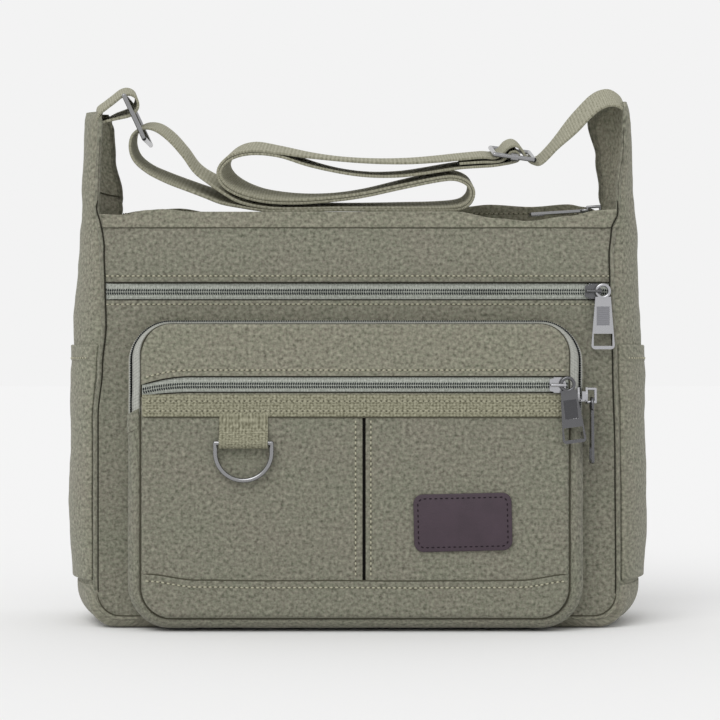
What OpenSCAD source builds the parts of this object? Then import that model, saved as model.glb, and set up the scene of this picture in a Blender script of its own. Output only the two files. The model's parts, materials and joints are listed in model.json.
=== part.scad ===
// Canvas messenger bag with a boxed front pocket, four zips and an adjustable shoulder strap.
// Millimetres. X runs across the bag, Y from the front to the back, Z upwards from the floor.

/* [Body] */
// Width of the front and back panels, seam to seam
panel_w = 314; // [280:1:360]
// Height of the body, floor to the top of the hem
body_h = 250; // [235:1:270]
// Depth of the base
base_d = 100; // [85:1:120]
// Thickness of the canvas with its backing
cloth_t = 2; // [1.5:0.1:2.6]
// Height of the padded base
base_h = 7; // [5:0.5:10]
// How far the back panel swells at mid height
back_swell = 4; // [0:0.5:8]
// How far each side seam draws in above the side pockets
waist = 3; // [0:0.5:5]
// Height over which the side seams draw in
waist_run = 30; // [20:1:40]
// Gap left between cloth pieces that are sewn face to face
seam_gap = 0.3; // [0.2:0.05:0.5]

/* [Mouth and ears] */
// How far the front hem leans in over the base
front_lean = 6; // [2:0.5:12]
// Depth of the mouth, outside the hems
mouth_d = 54; // [48:1:64]
// Height of the hem band
hem_h = 9; // [6:0.5:14]
// Thickness of the folded hem
hem_t = 3.2; // [2.5:0.1:4]
// Height of the ears that carry the strap
ear_h = 312; // [300:1:330]
// Width of an ear near its top
ear_w = 43; // [41:1:46]
// Radius of the ear's top corners
ear_r = 12; // [6:1:18]
// How far the ears lean outwards at the top
ear_lean = 5.5; // [2:0.5:8]
// Height over which the sides narrow to the ears
ear_run = 40; // [30:1:45]
// Height of the closed top zip at the middle of the mouth
top_zip_z = 236.5; // [232:0.5:238]
// Slope of the top zip, rising to the right, in degrees
top_zip_slope = 4; // [2:0.5:5]

/* [Side gussets and pockets] */
// Bulge of the gusset behind the side pocket
gusset_bulge = 12; // [6:0.5:14]
// Extra bulge above the side pocket
upper_bulge = 7; // [2:0.5:9]
// Bulge of the ear at its top
ear_bulge = 8; // [3:0.5:9]
// Bottom edge of the side pocket
side_pocket_z = 28; // [20:1:40]
// Height of the side pocket
side_pocket_h = 142; // [110:1:150]
// How far the side pocket stands open
side_pocket_gap = 8; // [6:0.1:9]
// Thickness of the side pocket cloth
side_pocket_t = 1.5; // [1:0.1:2]
// Height over which the side pocket's foot swells out
side_pocket_run = 22; // [15:1:40]

/* [Boxed front pocket] */
// Panel left showing on each side of the boxed pocket
pocket_margin = 21; // [18:0.5:30]
// Height of its lower edge
pocket_z = 1; // [0.5:0.5:6]
// Height of the boxed pocket
pocket_h = 183; // [170:1:186]
// Depth of the boxed pocket
pocket_d = 20; // [18:0.5:30]
// Radius of its corners
pocket_r = 26; // [20:1:32]
// Sideways shift of the pocket on the panel
pocket_x = -1.5; // [-5:0.5:5]
// Height at which the pocket's zip ends and the piping begins
pocket_zip_end = 127; // [115:1:132]
// Thickness of the cloth pieces sewn on the pocket's face
patch_t = 0.7; // [0.5:0.1:1]
// Height of the webbing band across the face
band_h = 13; // [10:0.5:16]
// Height of the strip across the foot of the face
foot_band_h = 28; // [20:1:36]
// Place of the slot between the two slip pockets
slip_slot_x = 3.6; // [-20:0.1:20]
// Width of that slot
slip_slot_w = 1.6; // [1:0.1:3]
// Radius of the fabric piping round the pocket
piping_r = 2.4; // [1.5:0.1:3]

/* [Zips] */
// Height of the front zip's centre line
front_zip_z = 202.2; // [199:0.2:206]
// Height of the face zip's centre line
face_zip_z = 146.2; // [146:0.1:150]
// Height of each zip window
zip_window = 10.8; // [10:0.1:12]
// Width of the closed chain
chain_w = 6; // [5:0.1:6.4]
// Height of the chain above its tape
chain_t = 2.2; // [1.8:0.1:2.3]
// Slot between the two rows of teeth
chain_slot = 1.6; // [1.4:0.1:2]
// Width of one tape
tape_w = 8; // [7:0.5:10]
// Thickness of the tape
tape_t = 0.8; // [0.5:0.1:1]
// Length of a slider
slider_l = 9.8; // [8:0.1:12]
// Width of a slider
slider_w = 9.2; // [8.6:0.1:9.6]
// Thickness of the slider's plates
plate_t = 1.2; // [0.8:0.1:1.4]
// Radius of the slider's bail
bail_r = 0.9; // [0.6:0.1:1]
// Clearance between the slider and what runs in it
run_gap = 0.3; // [0.2:0.05:0.4]
// Distance from the side seam to the parked front slider
front_park = 13; // [10:0.5:30]

/* [Zip pulls] */
// Length of a pull below the centre of its eye
pull_l = 34.8; // [28:0.2:40]
// Width of a pull at its foot
pull_w = 14; // [12:0.1:14]
// Thickness of a pull
pull_t = 1.6; // [1.2:0.1:1.8]
// Height of the slot near the foot of a pull
pull_slot_h = 7.3; // [5:0.1:8]
// Height of the recessed panel above the slot
pull_panel_h = 11.4; // [8:0.1:12]
// Bar between the slot and the panel
pull_bar = 4.9; // [3:0.1:6]
// Radius of the eye, to the middle of its wire
eye_r = 3.8; // [3.6:0.1:4.2]
// Radius of the eye's wire
eye_wire = 1; // [0.8:0.1:1]
// Sideways tilt of the face zip's pull, in degrees
face_pull_tilt = 7; // [0:1:12]

/* [Fittings] */
// Width of the ring tab's webbing
tab_w = 28.8; // [24:0.2:30]
// Distance from the pocket's left edge to the middle of the ring tab
tab_in = 70; // [50:0.1:90]
// Length of the ring tab below the band
tab_l = 15; // [12:0.5:20]
// Radius of the D ring's wire
d_ring_r = 1.4; // [1.2:0.1:1.6]
// Width of the D ring between wire centres
d_ring_w = 33.2; // [33:0.1:36]
// Length of the D ring's straight sides
d_ring_side = 5.4; // [3:0.2:10]
// Width of the leather patch
leather_w = 58; // [40:1:70]
// Height of the leather patch
leather_h = 34; // [25:1:40]
// Radius of the patch's corners
leather_r = 5.5; // [3:0.5:8]
// Thickness of the leather
leather_t = 1.6; // [1:0.1:2.2]
// Distance from the pocket's right edge to the middle of the patch
leather_in = 72.6; // [50:0.1:85]
// Height of the middle of the patch
leather_z = 65.2; // [50:0.2:80]
// Tilt of the patch, in degrees
leather_tilt = 1.3; // [0:0.1:3]

/* [Shoulder strap] */
// Width of the strap's webbing
strap_w = 38; // [30:1:38]
// Thickness of the strap's webbing
strap_t = 1.5; // [1.2:0.1:1.6]
// Radius of the wire in the strap's ring and adjuster
strap_wire = 1.4; // [1.2:0.1:1.5]
// Side play of the webbing inside the ring and the adjuster
strap_play = 1; // [0.5:0.1:2]
// Distance between the two bars of the strap's ring
ring_drop = 28.5; // [26:0.5:30]
// Lean of the strap's ring from upright, in degrees
ring_lean = 25; // [22:1:28]
// Length of the adjuster between the middles of its end bars
glide_l = 24.2; // [23:0.1:27]
// Slope of the adjuster, in degrees
glide_slope = 7.5; // [6:0.5:9]
// Length of the collars by which the adjuster's middle bar slides
collar_l = 4.4; // [3:0.1:6]
// Wall of those collars
collar_t = 1; // [0.8:0.1:1.2]
// Play of the collars on the adjuster's sides
collar_play = 0.1; // [0.05:0.05:0.15]

/* [Hidden] */

canvas = [0.46, 0.45, 0.38];
canvas_dark = [0.40, 0.39, 0.33];
webbing = [0.60, 0.59, 0.49];
tape_colour = [0.54, 0.55, 0.51];
teeth_colour = [0.34, 0.35, 0.34];
metal = [0.62, 0.62, 0.64];
leather = [0.27, 0.22, 0.25];
lining_colour = [0.32, 0.32, 0.30];

$fn = 40;

// ---- the bag's form ----

half_w = panel_w / 2;
pocket_w = panel_w - 2 * pocket_margin;
hem_z = body_h - hem_h;
lean_z = front_zip_z + zip_window / 2 + 3;
pocket_top = side_pocket_z + side_pocket_h;

// A smooth step from 0 to 1 between a and b
function rise(a, b, v) = let(t = min(1, max(0, (v - a) / (b - a)))) t * t * (3 - 2 * t);
// Outer faces of the front and back panels at height z
function front_y(z) = front_lean * rise(lean_z, body_h, z);
function back_y(z) = base_d + back_swell * sin(180 * min(1, z / body_h))
    - (base_d - front_lean - mouth_d) * pow(min(1, z / body_h), 1.6);
// Half width at the side seams
function seam_x(z) = half_w - waist * rise(pocket_top, pocket_top + waist_run, z)
    + ear_lean * rise(body_h, ear_h, z);
// Swell of the gusset beyond the seams, at height z and at share t of its depth
function swell_z(z) = gusset_bulge * (0.5 + 0.5 * rise(base_h, side_pocket_z, z))
    + upper_bulge * rise(pocket_top - waist_run / 3, pocket_top + waist_run * 2 / 3, z)
    - (gusset_bulge + upper_bulge - ear_bulge) * rise(hem_z, ear_h, z);
function swell_t(t) = pow(max(0, sin(180 * t)), 0.7);

mouth_y = front_lean + mouth_d / 2;
// Front and back edges of the gusset: behind the panels, then tapering into the ear
ear_round_z = ear_h - ear_r;
function ear_cut(z) = z < ear_round_z ? 0
    : ear_r - sqrt(max(0, ear_r * ear_r - pow(z - ear_round_z, 2)));
function ear_taper(z) = rise(body_h, body_h + ear_run, z);
hem_edge = hem_t + seam_gap;
function gusset_front(z) = z < body_h - 12 ? front_y(z) + cloth_t + seam_gap
    : (1 - ear_taper(z)) * (front_y(z) + hem_edge) + ear_taper(z) * (mouth_y - ear_w / 2)
        + ear_cut(z);
function gusset_back(z) = z < body_h - 12 ? back_y(z) - cloth_t - seam_gap
    : (1 - ear_taper(z)) * (back_y(z) - hem_edge) + ear_taper(z) * (mouth_y + ear_w / 2)
        - ear_cut(z);
function gusset_y(t, z) = gusset_front(z) + t * (gusset_back(z) - gusset_front(z));
function gusset_x(t, z) = seam_x(z) + swell_z(z) * swell_t(t);

// ---- the zips' stack, counted outwards from the face of the tape ----

slider_top = chain_t + run_gap + plate_t;
bail_gap = 2 * eye_wire + 2 * bail_r + 0.2;
eye_axis = slider_top + bail_gap - eye_wire - 0.2;
bail_z = slider_top + bail_gap + bail_r;
bail_x = slider_l * 0.4;
eye_x = bail_x - bail_r - eye_wire - run_gap;
// The neck between the plates runs in the slot between the two rows of teeth
neck_w = chain_slot - 2 * run_gap;
neck_l = 2.6;
neck_in = 1.4;
tape_y = cloth_t + seam_gap;
face_y = -pocket_d;
face_tape_y = face_y + tape_y;
patch_y = face_y - patch_t;
pocket_right = pocket_x + pocket_w / 2;
pocket_left = pocket_x - pocket_w / 2;

// ---- the fittings ----

tab_t = 1.3;
loop_r = d_ring_r + seam_gap + tab_t;
d_ring_y = patch_y - seam_gap - loop_r;
d_ring_z = pocket_zip_end - tab_l;
tab_x = pocket_left + tab_in;
leather_x = pocket_right - leather_in;

// ---- where the bag stands: its box is centred on the origin ----

foremost = min(face_tape_y - bail_z - bail_r, d_ring_y - loop_r);
rearmost = max([for (z = [0:2:body_h]) back_y(z)]);
shift_y = -(foremost + rearmost) / 2;

module placed(colour) { color(colour) translate([0, shift_y, 0]) children(); }

// ---- helpers ----

// A closed slab between two grids of points, rows by columns
module slab(outer, inner) {
    rows = len(outer);
    cols = len(outer[0]);
    all = rows * cols;
    points = concat([for (row = outer) each row], [for (row = inner) each row]);
    function cell(i, j) = [i * cols + j, (i + 1) * cols + j, (i + 1) * cols + j + 1, i * cols + j + 1];
    function two(q) = [[q[0], q[1], q[2]], [q[0], q[2], q[3]]];
    function wall(a, b) = two([b, a, a + all, b + all]);
    faces = concat(
        [for (i = [0:rows - 2], j = [0:cols - 2]) each two(cell(i, j))],
        [for (i = [0:rows - 2], j = [0:cols - 2])
            each [for (f = two(cell(i, j))) [f[2] + all, f[1] + all, f[0] + all]]],
        [for (j = [0:cols - 2]) each wall(j + 1, j)],
        [for (j = [0:cols - 2]) each wall((rows - 1) * cols + j, (rows - 1) * cols + j + 1)],
        [for (i = [0:rows - 2]) each wall(i * cols, (i + 1) * cols)],
        [for (i = [0:rows - 2]) each wall((i + 2) * cols - 1, (i + 1) * cols - 1)]);
    polyhedron(points, faces);
}

// Heights from a to b in n steps
function steps(a, b, n) = [for (i = [0:n]) a + (b - a) * i / n];

module right_and_left(side) { if (side > 0) children(); else mirror([1, 0, 0]) children(); }

// A rectangle with round corners, about its centre
module round_rect(w, h, r) {
    square([w - 2 * r, h], center = true);
    square([w, h - 2 * r], center = true);
    for (x = [-1, 1], z = [-1, 1]) translate([x * (w / 2 - r), z * (h / 2 - r)]) circle(r);
}

// Stands a flat shape up in the XZ plane and gives it a thickness, from y to y + t
module upright(y, t) { translate([0, y + t, 0]) rotate([90, 0, 0]) linear_extrude(t) children(); }

// ---- the shell ----

module base_panel() placed(canvas_dark) {
    intersection() {
        translate([-half_w, 0, 0]) cube([panel_w, base_d, base_h]);
        union() {
            translate([-half_w + base_h, base_h, 0])
                cube([panel_w - 2 * base_h, base_d - 2 * base_h, base_h]);
            for (y = [base_h, base_d - base_h]) translate([0, y, base_h]) rotate([0, 90, 0])
                cylinder(r = base_h, h = panel_w - 2 * base_h, center = true);
            for (x = [-1, 1]) translate([x * (half_w - base_h), base_d / 2, base_h])
                rotate([90, 0, 0]) cylinder(r = base_h, h = base_d - 2 * base_h, center = true);
            for (x = [-1, 1], y = [base_h, base_d - base_h])
                translate([x * (half_w - base_h), y, base_h]) sphere(base_h);
        }
    }
}

// A panel that follows a face function; outward is -1 for the front and 1 for the back
module front_piece(z0, z1, n, t) {
    zs = steps(z0, z1, n);
    slab([for (z = zs) [for (s = [-1, 1]) [s * seam_x(z), front_y(z), z]]],
        [for (z = zs) [for (s = [-1, 1]) [s * seam_x(z), front_y(z) + t, z]]]);
}
module back_piece(z0, z1, n, t) {
    zs = steps(z0, z1, n);
    slab([for (z = zs) [for (s = [1, -1]) [s * seam_x(z), back_y(z), z]]],
        [for (z = zs) [for (s = [1, -1]) [s * seam_x(z), back_y(z) - t, z]]]);
}

panel_foot = base_h + seam_gap;
module front_panel_low() placed(canvas)
    front_piece(panel_foot, front_zip_z - zip_window / 2, 12, cloth_t);
module front_panel_top() placed(canvas)
    front_piece(front_zip_z + zip_window / 2, hem_z - seam_gap, 6, cloth_t);
module top_hem_front() placed(canvas) front_piece(hem_z, body_h, 2, hem_t);
module back_panel() placed(canvas) back_piece(panel_foot, hem_z - seam_gap, 16, cloth_t);
module top_hem_back() placed(canvas) back_piece(hem_z, body_h, 2, hem_t);

gusset_ts = steps(0, 1, 10);
gusset_zs = concat(steps(panel_foot, pocket_top - 12, 6), steps(pocket_top - 4, hem_z - 4, 6),
    steps(body_h - 5, ear_round_z, 5), steps(ear_round_z + 3, ear_h - 0.5, 4));
module gusset(side) placed(canvas) right_and_left(side)
    slab([for (z = gusset_zs) [for (t = gusset_ts) [gusset_x(t, z), gusset_y(t, z), z]]],
        [for (z = gusset_zs) [for (t = gusset_ts) [gusset_x(t, z) - cloth_t, gusset_y(t, z), z]]]);
module gusset_left() gusset(-1);
module gusset_right() gusset(1);

// The cloth bag inside, open at the top
lining_t = 0.8;
lining_x = half_w - waist - cloth_t - 1;
lining_play = 2.4;
lining_front = tape_y + tape_t + run_gap + plate_t + lining_play;
lining_drop = 8;
lining_top = top_zip_z - half_w * tan(top_zip_slope) - lining_drop;
module lining_form(grow, foot, top) hull() for (z = [foot, top]) {
    front = lining_front + grow;
    translate([grow - lining_x, front, z - 1])
        cube([2 * (lining_x - grow), back_y(z) - cloth_t - 1 - grow - front, 1]);
}
module lining() placed(lining_colour) difference() {
    lining_form(0, base_h + seam_gap + 1, lining_top);
    lining_form(lining_t, base_h + seam_gap + lining_t + 1, lining_top + 1);
}

// Patch pockets on the gussets, sewn at three edges and standing open at the top
side_pocket_ts = steps(0.05, 0.95, 10);
side_pocket_zs = concat(steps(side_pocket_z, side_pocket_z + side_pocket_run, 4),
    steps(side_pocket_z + 2 * side_pocket_run, pocket_top, 4));
function side_pocket_x(t, z) = gusset_x(t, z) + seam_gap
    + side_pocket_gap * swell_t((t - 0.05) / 0.9) * rise(side_pocket_z, side_pocket_z + side_pocket_run, z);
module side_pocket(side) placed(canvas) right_and_left(side)
    slab([for (z = side_pocket_zs) [for (t = side_pocket_ts)
            [side_pocket_x(t, z) + side_pocket_t, gusset_y(t, z), z]]],
        [for (z = side_pocket_zs) [for (t = side_pocket_ts)
            [side_pocket_x(t, z), gusset_y(t, z), z]]]);
module side_pocket_left() side_pocket(-1);
module side_pocket_right() side_pocket(1);

// ---- zips: one local frame, travel along X, across along Y, outwards along Z ----

module zip_tapes(x0, x1, w = tape_w) for (s = [-1, 1])
    translate([x0, s > 0 ? chain_slot / 2 : -w, -tape_t])
        cube([x1 - x0, w - chain_slot / 2, tape_t]);
module half_chain(x0, x1, s) translate([x0, s > 0 ? chain_slot / 2 : -chain_w / 2, 0])
    cube([x1 - x0, (chain_w - chain_slot) / 2, chain_t]);

// The slider's plates are wide at the mouth end, which faces +X
module slider_outline() {
    translate([slider_l / 2 - slider_w / 2, 0]) circle(slider_w / 2);
    polygon([[-slider_l / 2, -slider_w * 0.37], [-slider_l / 2, slider_w * 0.37],
        [slider_l / 2 - slider_w / 2, slider_w / 2], [slider_l / 2 - slider_w / 2, -slider_w / 2]]);
}
module slider() {
    flange_w = (slider_w - chain_w) / 2 - run_gap;
    flange_y = chain_w / 2 + run_gap;
    translate([0, 0, slider_top - plate_t]) linear_extrude(plate_t) slider_outline();
    translate([0, 0, -tape_t - run_gap - plate_t]) linear_extrude(plate_t) slider_outline();
    for (s = [-1, 1]) translate([-slider_l / 4, s > 0 ? flange_y : -flange_y - flange_w, run_gap])
        cube([slider_l / 2, flange_w, chain_t]);
    translate([slider_l / 2 - neck_in - neck_l, -neck_w / 2, -tape_t - run_gap])
        cube([neck_l, neck_w, slider_top - plate_t + tape_t + run_gap]);
    for (x = [-bail_x, bail_x]) {
        translate([x, 0, slider_top]) cylinder(r = bail_r, h = bail_z - slider_top);
        translate([x, 0, bail_z]) sphere(bail_r);
    }
    translate([0, 0, bail_z]) rotate([0, 90, 0]) cylinder(r = bail_r, h = 2 * bail_x, center = true);
}

// A pull lies in the XY plane, its eye about the origin and its blade along -Y
blade_top = eye_r * 0.9;
panel_inset_w = pull_w * 0.55;
panel_inset_t = 0.5;
slot_w = pull_w * 0.8;
pull_rim = 2;
module pull_blade() {
    foot_r = 2.4;
    polygon([[-eye_r - eye_wire * 0.8, -blade_top], [eye_r + eye_wire * 0.8, -blade_top],
        [pull_w / 2, -pull_l + foot_r], [-pull_w / 2, -pull_l + foot_r]]);
    translate([0, -pull_l + foot_r]) square([pull_w - 2 * foot_r, 2 * foot_r], center = true);
    for (x = [-1, 1]) translate([x * (pull_w / 2 - foot_r), -pull_l + foot_r]) circle(foot_r);
}
module pull() {
    rotate_extrude() translate([eye_r, 0]) circle(eye_wire, $fn = 24);
    difference() {
        translate([0, 0, -pull_t / 2]) linear_extrude(pull_t) pull_blade();
        translate([0, 0, -pull_t]) cylinder(r = eye_r, h = 2 * pull_t);
        translate([-slot_w / 2, -pull_l + pull_rim, -pull_t])
            cube([slot_w, pull_slot_h, 2 * pull_t]);
        translate([-panel_inset_w / 2, -pull_l + pull_rim + pull_slot_h + pull_bar,
            pull_t / 2 - panel_inset_t]) cube([panel_inset_w, pull_panel_h, pull_t]);
    }
}

// Stands the zip frame on a front face: travel +X, outwards -Y
module on_front(x, y, z) translate([x, y, z]) rotate([90, 0, 0]) children();

front_zip_end = seam_x(front_zip_z) - cloth_t - seam_gap;
front_slider_x = seam_x(front_zip_z) - front_park;
module front_zip_tape() placed(tape_colour) on_front(0, tape_y, front_zip_z)
    zip_tapes(-front_zip_end, front_zip_end);
module front_zip_chain() placed(teeth_colour) on_front(0, tape_y, front_zip_z)
    for (s = [-1, 1]) half_chain(-front_zip_end, front_zip_end, s);
module front_zip_slider() placed(metal) on_front(front_slider_x, tape_y, front_zip_z) slider();
module front_zip_pull() placed(metal) on_front(front_slider_x, tape_y, front_zip_z)
    translate([eye_x + eye_r, 0, eye_axis]) pull();

// ---- the boxed pocket ----

pocket_mid = pocket_z + pocket_h / 2;
module pocket_outline(inset) translate([pocket_x, pocket_mid])
    round_rect(pocket_w - 2 * inset, pocket_h - 2 * inset, pocket_r - inset);
module pocket_ring(inset, t) difference() { pocket_outline(inset); pocket_outline(inset + t); }
module above(z) translate([-half_w, z]) square([panel_w, body_h]);
module below(z) translate([-half_w, z - body_h]) square([panel_w, body_h]);

// The zip's tapes lie in the pocket's side wall, half way along its depth
wall_zip_y = -pocket_d * 0.6;
// The rear tape is narrower, to leave cloth between it and the bag
wall_rear_w = tape_w - 3;
face_back = face_y + cloth_t;
module pocket_boxing() placed(canvas_dark) {
    upright(face_back + seam_gap, -seam_gap * 2 - face_back) intersection() {
        pocket_ring(0, cloth_t);
        below(pocket_zip_end);
    }
    upright(wall_zip_y + wall_rear_w + seam_gap, -wall_zip_y - wall_rear_w - 2 * seam_gap) intersection() {
        pocket_ring(0, cloth_t);
        above(pocket_zip_end);
    }
}
tape_in = cloth_t;
module wall_zip(inset, t, y0, y1) upright(y0, y1 - y0) intersection() {
    pocket_ring(inset, t);
    above(pocket_zip_end + seam_gap);
}
module pocket_zip_tape() placed(tape_colour) for (s = [-1, 1])
    wall_zip(tape_in, tape_t, s > 0 ? wall_zip_y + chain_slot / 2 : face_back + seam_gap,
        s > 0 ? wall_zip_y + wall_rear_w : wall_zip_y - chain_slot / 2);
module pocket_zip_chain() placed(teeth_colour) for (s = [-1, 1])
    wall_zip(tape_in - chain_t, chain_t, s > 0 ? wall_zip_y + chain_slot / 2 : wall_zip_y - chain_w / 2,
        s > 0 ? wall_zip_y + chain_w / 2 : wall_zip_y - chain_slot / 2);

// Stands the zip frame on the pocket's right wall: travel -Z, outwards +X
wall_park = 8;
pocket_slider_z = pocket_zip_end + slider_l / 2 + wall_park;
module on_wall() translate([pocket_right - tape_in, wall_zip_y, pocket_slider_z])
    rotate([0, 90, 0]) children();
module pocket_zip_slider() placed(metal) on_wall() slider();
module pocket_zip_pull() placed(metal) on_wall()
    translate([eye_x + eye_r, 0, eye_axis]) rotate([0, 0, 90]) pull();

// The face: an upper panel, a zip and a lower panel with pieces sewn on it
face_in = cloth_t + seam_gap;
module face_plate(y, t, z0, z1) upright(y, t) intersection() {
    pocket_outline(face_in);
    translate([-half_w, z0]) square([panel_w, z1 - z0]);
}
module pocket_face_top() placed(canvas)
    face_plate(face_y, cloth_t, face_zip_z + zip_window / 2, body_h);
module pocket_face_low() placed(canvas) face_plate(face_y, cloth_t, 0, face_zip_z - zip_window / 2);
face_zip_end = pocket_w / 2 - tape_in - tape_t - chain_t - seam_gap;
face_park = 16.5;
face_slider_x = pocket_right - face_park;
module face_zip_tape() placed(tape_colour) on_front(pocket_x, face_tape_y, face_zip_z)
    zip_tapes(-face_zip_end, face_zip_end);
module face_zip_chain() placed(teeth_colour) on_front(pocket_x, face_tape_y, face_zip_z)
    for (s = [-1, 1]) half_chain(-face_zip_end, face_zip_end, s);
module face_zip_slider() placed(metal) on_front(face_slider_x, face_tape_y, face_zip_z) slider();
module face_zip_pull() placed(metal) on_front(face_slider_x, face_tape_y, face_zip_z)
    translate([eye_x, 0, eye_axis]) rotate([0, 0, face_pull_tilt]) translate([eye_r, 0, 0]) pull();

band_top = face_zip_z - zip_window / 2 - 0.5;
band_foot = band_top - band_h;
foot_band_top = pocket_z + foot_band_h;
module on_face(t, z0, z1, x0 = -half_w, x1 = half_w) intersection() {
    face_plate(face_y - t, t, z0, z1);
    translate([x0, -base_d, 0]) cube([x1 - x0, 2 * base_d, body_h]);
}
module webbing_band() placed(webbing) on_face(patch_t, band_foot, band_top);
module slip_pocket_left() placed(canvas)
    on_face(patch_t, foot_band_top, band_foot, x1 = slip_slot_x - slip_slot_w / 2);
module slip_pocket_right() placed(canvas)
    on_face(patch_t, foot_band_top, band_foot, x0 = slip_slot_x + slip_slot_w / 2);
module foot_band() placed(canvas) on_face(patch_t, 0, foot_band_top);

// Round piping along the sides and foot of the pocket, where its wall meets the bag
module pocket_piping() placed(canvas_dark) translate([pocket_x, -piping_r - seam_gap, 0]) {
    x = pocket_w / 2 - pocket_r;
    z = pocket_z + pocket_r;
    for (s = [-1, 1]) {
        translate([s * (x + pocket_r - piping_r - cloth_t - seam_gap), 0, z])
            cylinder(r = piping_r, h = pocket_zip_end - z - seam_gap);
        translate([s * x, 0, z]) rotate([90, 0, 0])
            rotate_extrude(angle = 90, start = s > 0 ? 270 : 180)
            translate([pocket_r - piping_r - cloth_t - seam_gap, 0]) circle(piping_r);
    }
    translate([0, 0, pocket_z + piping_r + cloth_t + seam_gap]) rotate([0, 90, 0])
        cylinder(r = piping_r, h = 2 * x, center = true);
}

// ---- the ring tab, the ring and the patch ----

// How far the tab's two layers reach up from the ring to the band, in the ring's own frame
band_foot_drop = -(band_foot - d_ring_z);
module d_ring_tab() placed(webbing) translate([tab_x, 0, 0]) difference() {
    union() {
        translate([0, d_ring_y, d_ring_z]) rotate([0, 90, 0])
            cylinder(r = loop_r, h = tab_w, center = true);
        translate([0, d_ring_y, d_ring_z]) rotate([0, 90, 0]) linear_extrude(tab_w, center = true)
            polygon([[0, loop_r], [0, -loop_r], [-loop_r, -loop_r * 0.8],
                [-2 * loop_r, loop_r - 2 * tab_t], [band_foot_drop, loop_r - 2 * tab_t],
                [band_foot_drop, loop_r]]);
    }
    translate([0, d_ring_y, d_ring_z]) rotate([0, 90, 0])
        cylinder(r = d_ring_r + seam_gap, h = 2 * tab_w, center = true);
}

module d_ring() placed(metal) translate([tab_x, d_ring_y, d_ring_z]) {
    r = d_ring_w / 2;
    rotate([0, 90, 0]) cylinder(r = d_ring_r, h = d_ring_w, center = true);
    for (s = [-1, 1]) {
        translate([s * r, 0, 0]) sphere(d_ring_r);
        translate([s * r, 0, -d_ring_side]) cylinder(r = d_ring_r, h = d_ring_side);
    }
    translate([0, 0, -d_ring_side]) rotate([90, 0, 0])
        rotate_extrude(angle = 180, start = 180) translate([r, 0]) circle(d_ring_r);
}

module leather_patch() placed(leather) translate([leather_x, patch_y, leather_z])
    rotate([90, -leather_tilt, 0]) linear_extrude(leather_t) round_rect(leather_w, leather_h, leather_r);

// ---- the top zip: two cloth flaps that meet at the chain and fold down when it is undone ----

module on_mouth() translate([0, mouth_y, top_zip_z]) rotate([0, -top_zip_slope, 0]) children();
flap_w = mouth_d / 2 - hem_t - seam_gap;
flap_t = 1;
facing_w = flap_w - tape_w;
mouth_half = half_w - waist;
flap_right_in = 18;
flap_right = mouth_half - flap_right_in;
end_x = mouth_half - cloth_t - 0.5;
// On the left the zip is sewn down for the length of its pull
flap_left = end_x - pull_l - eye_r - slider_l;
top_park = 8;
top_slider_x = mouth_half - top_park;
module flap_strip(y0, z0, w, t) translate([-flap_left, y0, z0]) cube([flap_left + flap_right, w, t]);
module facing(s) placed(canvas_dark) on_mouth()
    flap_strip(s > 0 ? tape_w : -flap_w, -flap_t, facing_w, flap_t);
module top_facing_front() facing(-1);
module top_facing_back() facing(1);
module flap_tape(s) placed(tape_colour) on_mouth()
    flap_strip(s > 0 ? chain_slot / 2 : -tape_w, -tape_t, tape_w - chain_slot / 2, tape_t);
module top_tape_front() flap_tape(-1);
module top_tape_back() flap_tape(1);
module top_chain_front() placed(teeth_colour) on_mouth() half_chain(-flap_left, flap_right, -1);
module top_chain_back() placed(teeth_colour) on_mouth() half_chain(-flap_left, flap_right, 1);
// Short stretches beyond the flaps, where the slider parks
module top_end_tape() placed(tape_colour) on_mouth() {
    zip_tapes(flap_right + seam_gap, end_x, flap_w);
    zip_tapes(-end_x, -flap_left - seam_gap, flap_w);
}
module top_end_chain() placed(teeth_colour) on_mouth() for (s = [-1, 1]) {
    half_chain(flap_right + seam_gap, end_x, s);
    half_chain(-end_x, -flap_left - seam_gap, s);
}
module top_zip_slider() placed(metal) on_mouth() translate([top_slider_x, 0, 0]) slider();
module top_zip_pull() placed(metal) on_mouth()
    translate([top_slider_x - eye_x - eye_r, 0, eye_axis]) rotate([0, 0, -90]) pull();

// ---- the shoulder strap ----

// A smooth curve through the points of a route, with m steps between neighbours
function at(p, i) = p[min(len(p) - 1, max(0, i))];
function spline(p, m) = concat([for (i = [0:len(p) - 2], k = [0:m - 1]) let(t = k / m,
    a = at(p, i - 1), b = p[i], c = p[i + 1], d = at(p, i + 2))
    0.5 * ((2 * b) + (c - a) * t + (2 * a - 5 * b + 4 * c - d) * t * t
        + (3 * b - a - 3 * c + d) * t * t * t)], [p[len(p) - 1]]);
function unit(v) = v / norm(v);
function normal(p, i) = let(d = unit(at(p, i + 1) - at(p, i - 1))) [-d[1], d[0]];
// A flat band of webbing along a route in the XZ plane, across the mouth's middle
module band(route, w, t) {
    p = spline(route, 3);
    n = len(p);
    points = [for (i = [0:n - 1]) let(u = normal(p, i) * t / 2)
        each [for (c = [[1, -1], [1, 1], [-1, 1], [-1, -1]])
            [p[i][0] + c[0] * u[0], mouth_y + c[1] * w / 2, p[i][1] + c[0] * u[1]]]];
    faces = concat([[0, 1, 2], [0, 2, 3]],
        [for (i = [0:n - 2], k = [0:3]) let(a = 4 * i + k, b = 4 * i + (k + 1) % 4)
            each [[a, a + 4, b + 4], [a, b + 4, b]]],
        [let(e = 4 * (n - 1)) each [[e + 2, e + 1, e], [e + 3, e + 2, e]]]);
    polyhedron(points, faces);
}

// The top of each ear, half way through the webbing that lies on it
ear_x = half_w - waist + ear_lean - 2;
// A point at distance d inside the right ear's webbing, or inside the left ear's
function from_right(d, z) = [ear_x - d, z];
function from_left(d, z) = [d - ear_x, z];

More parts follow.
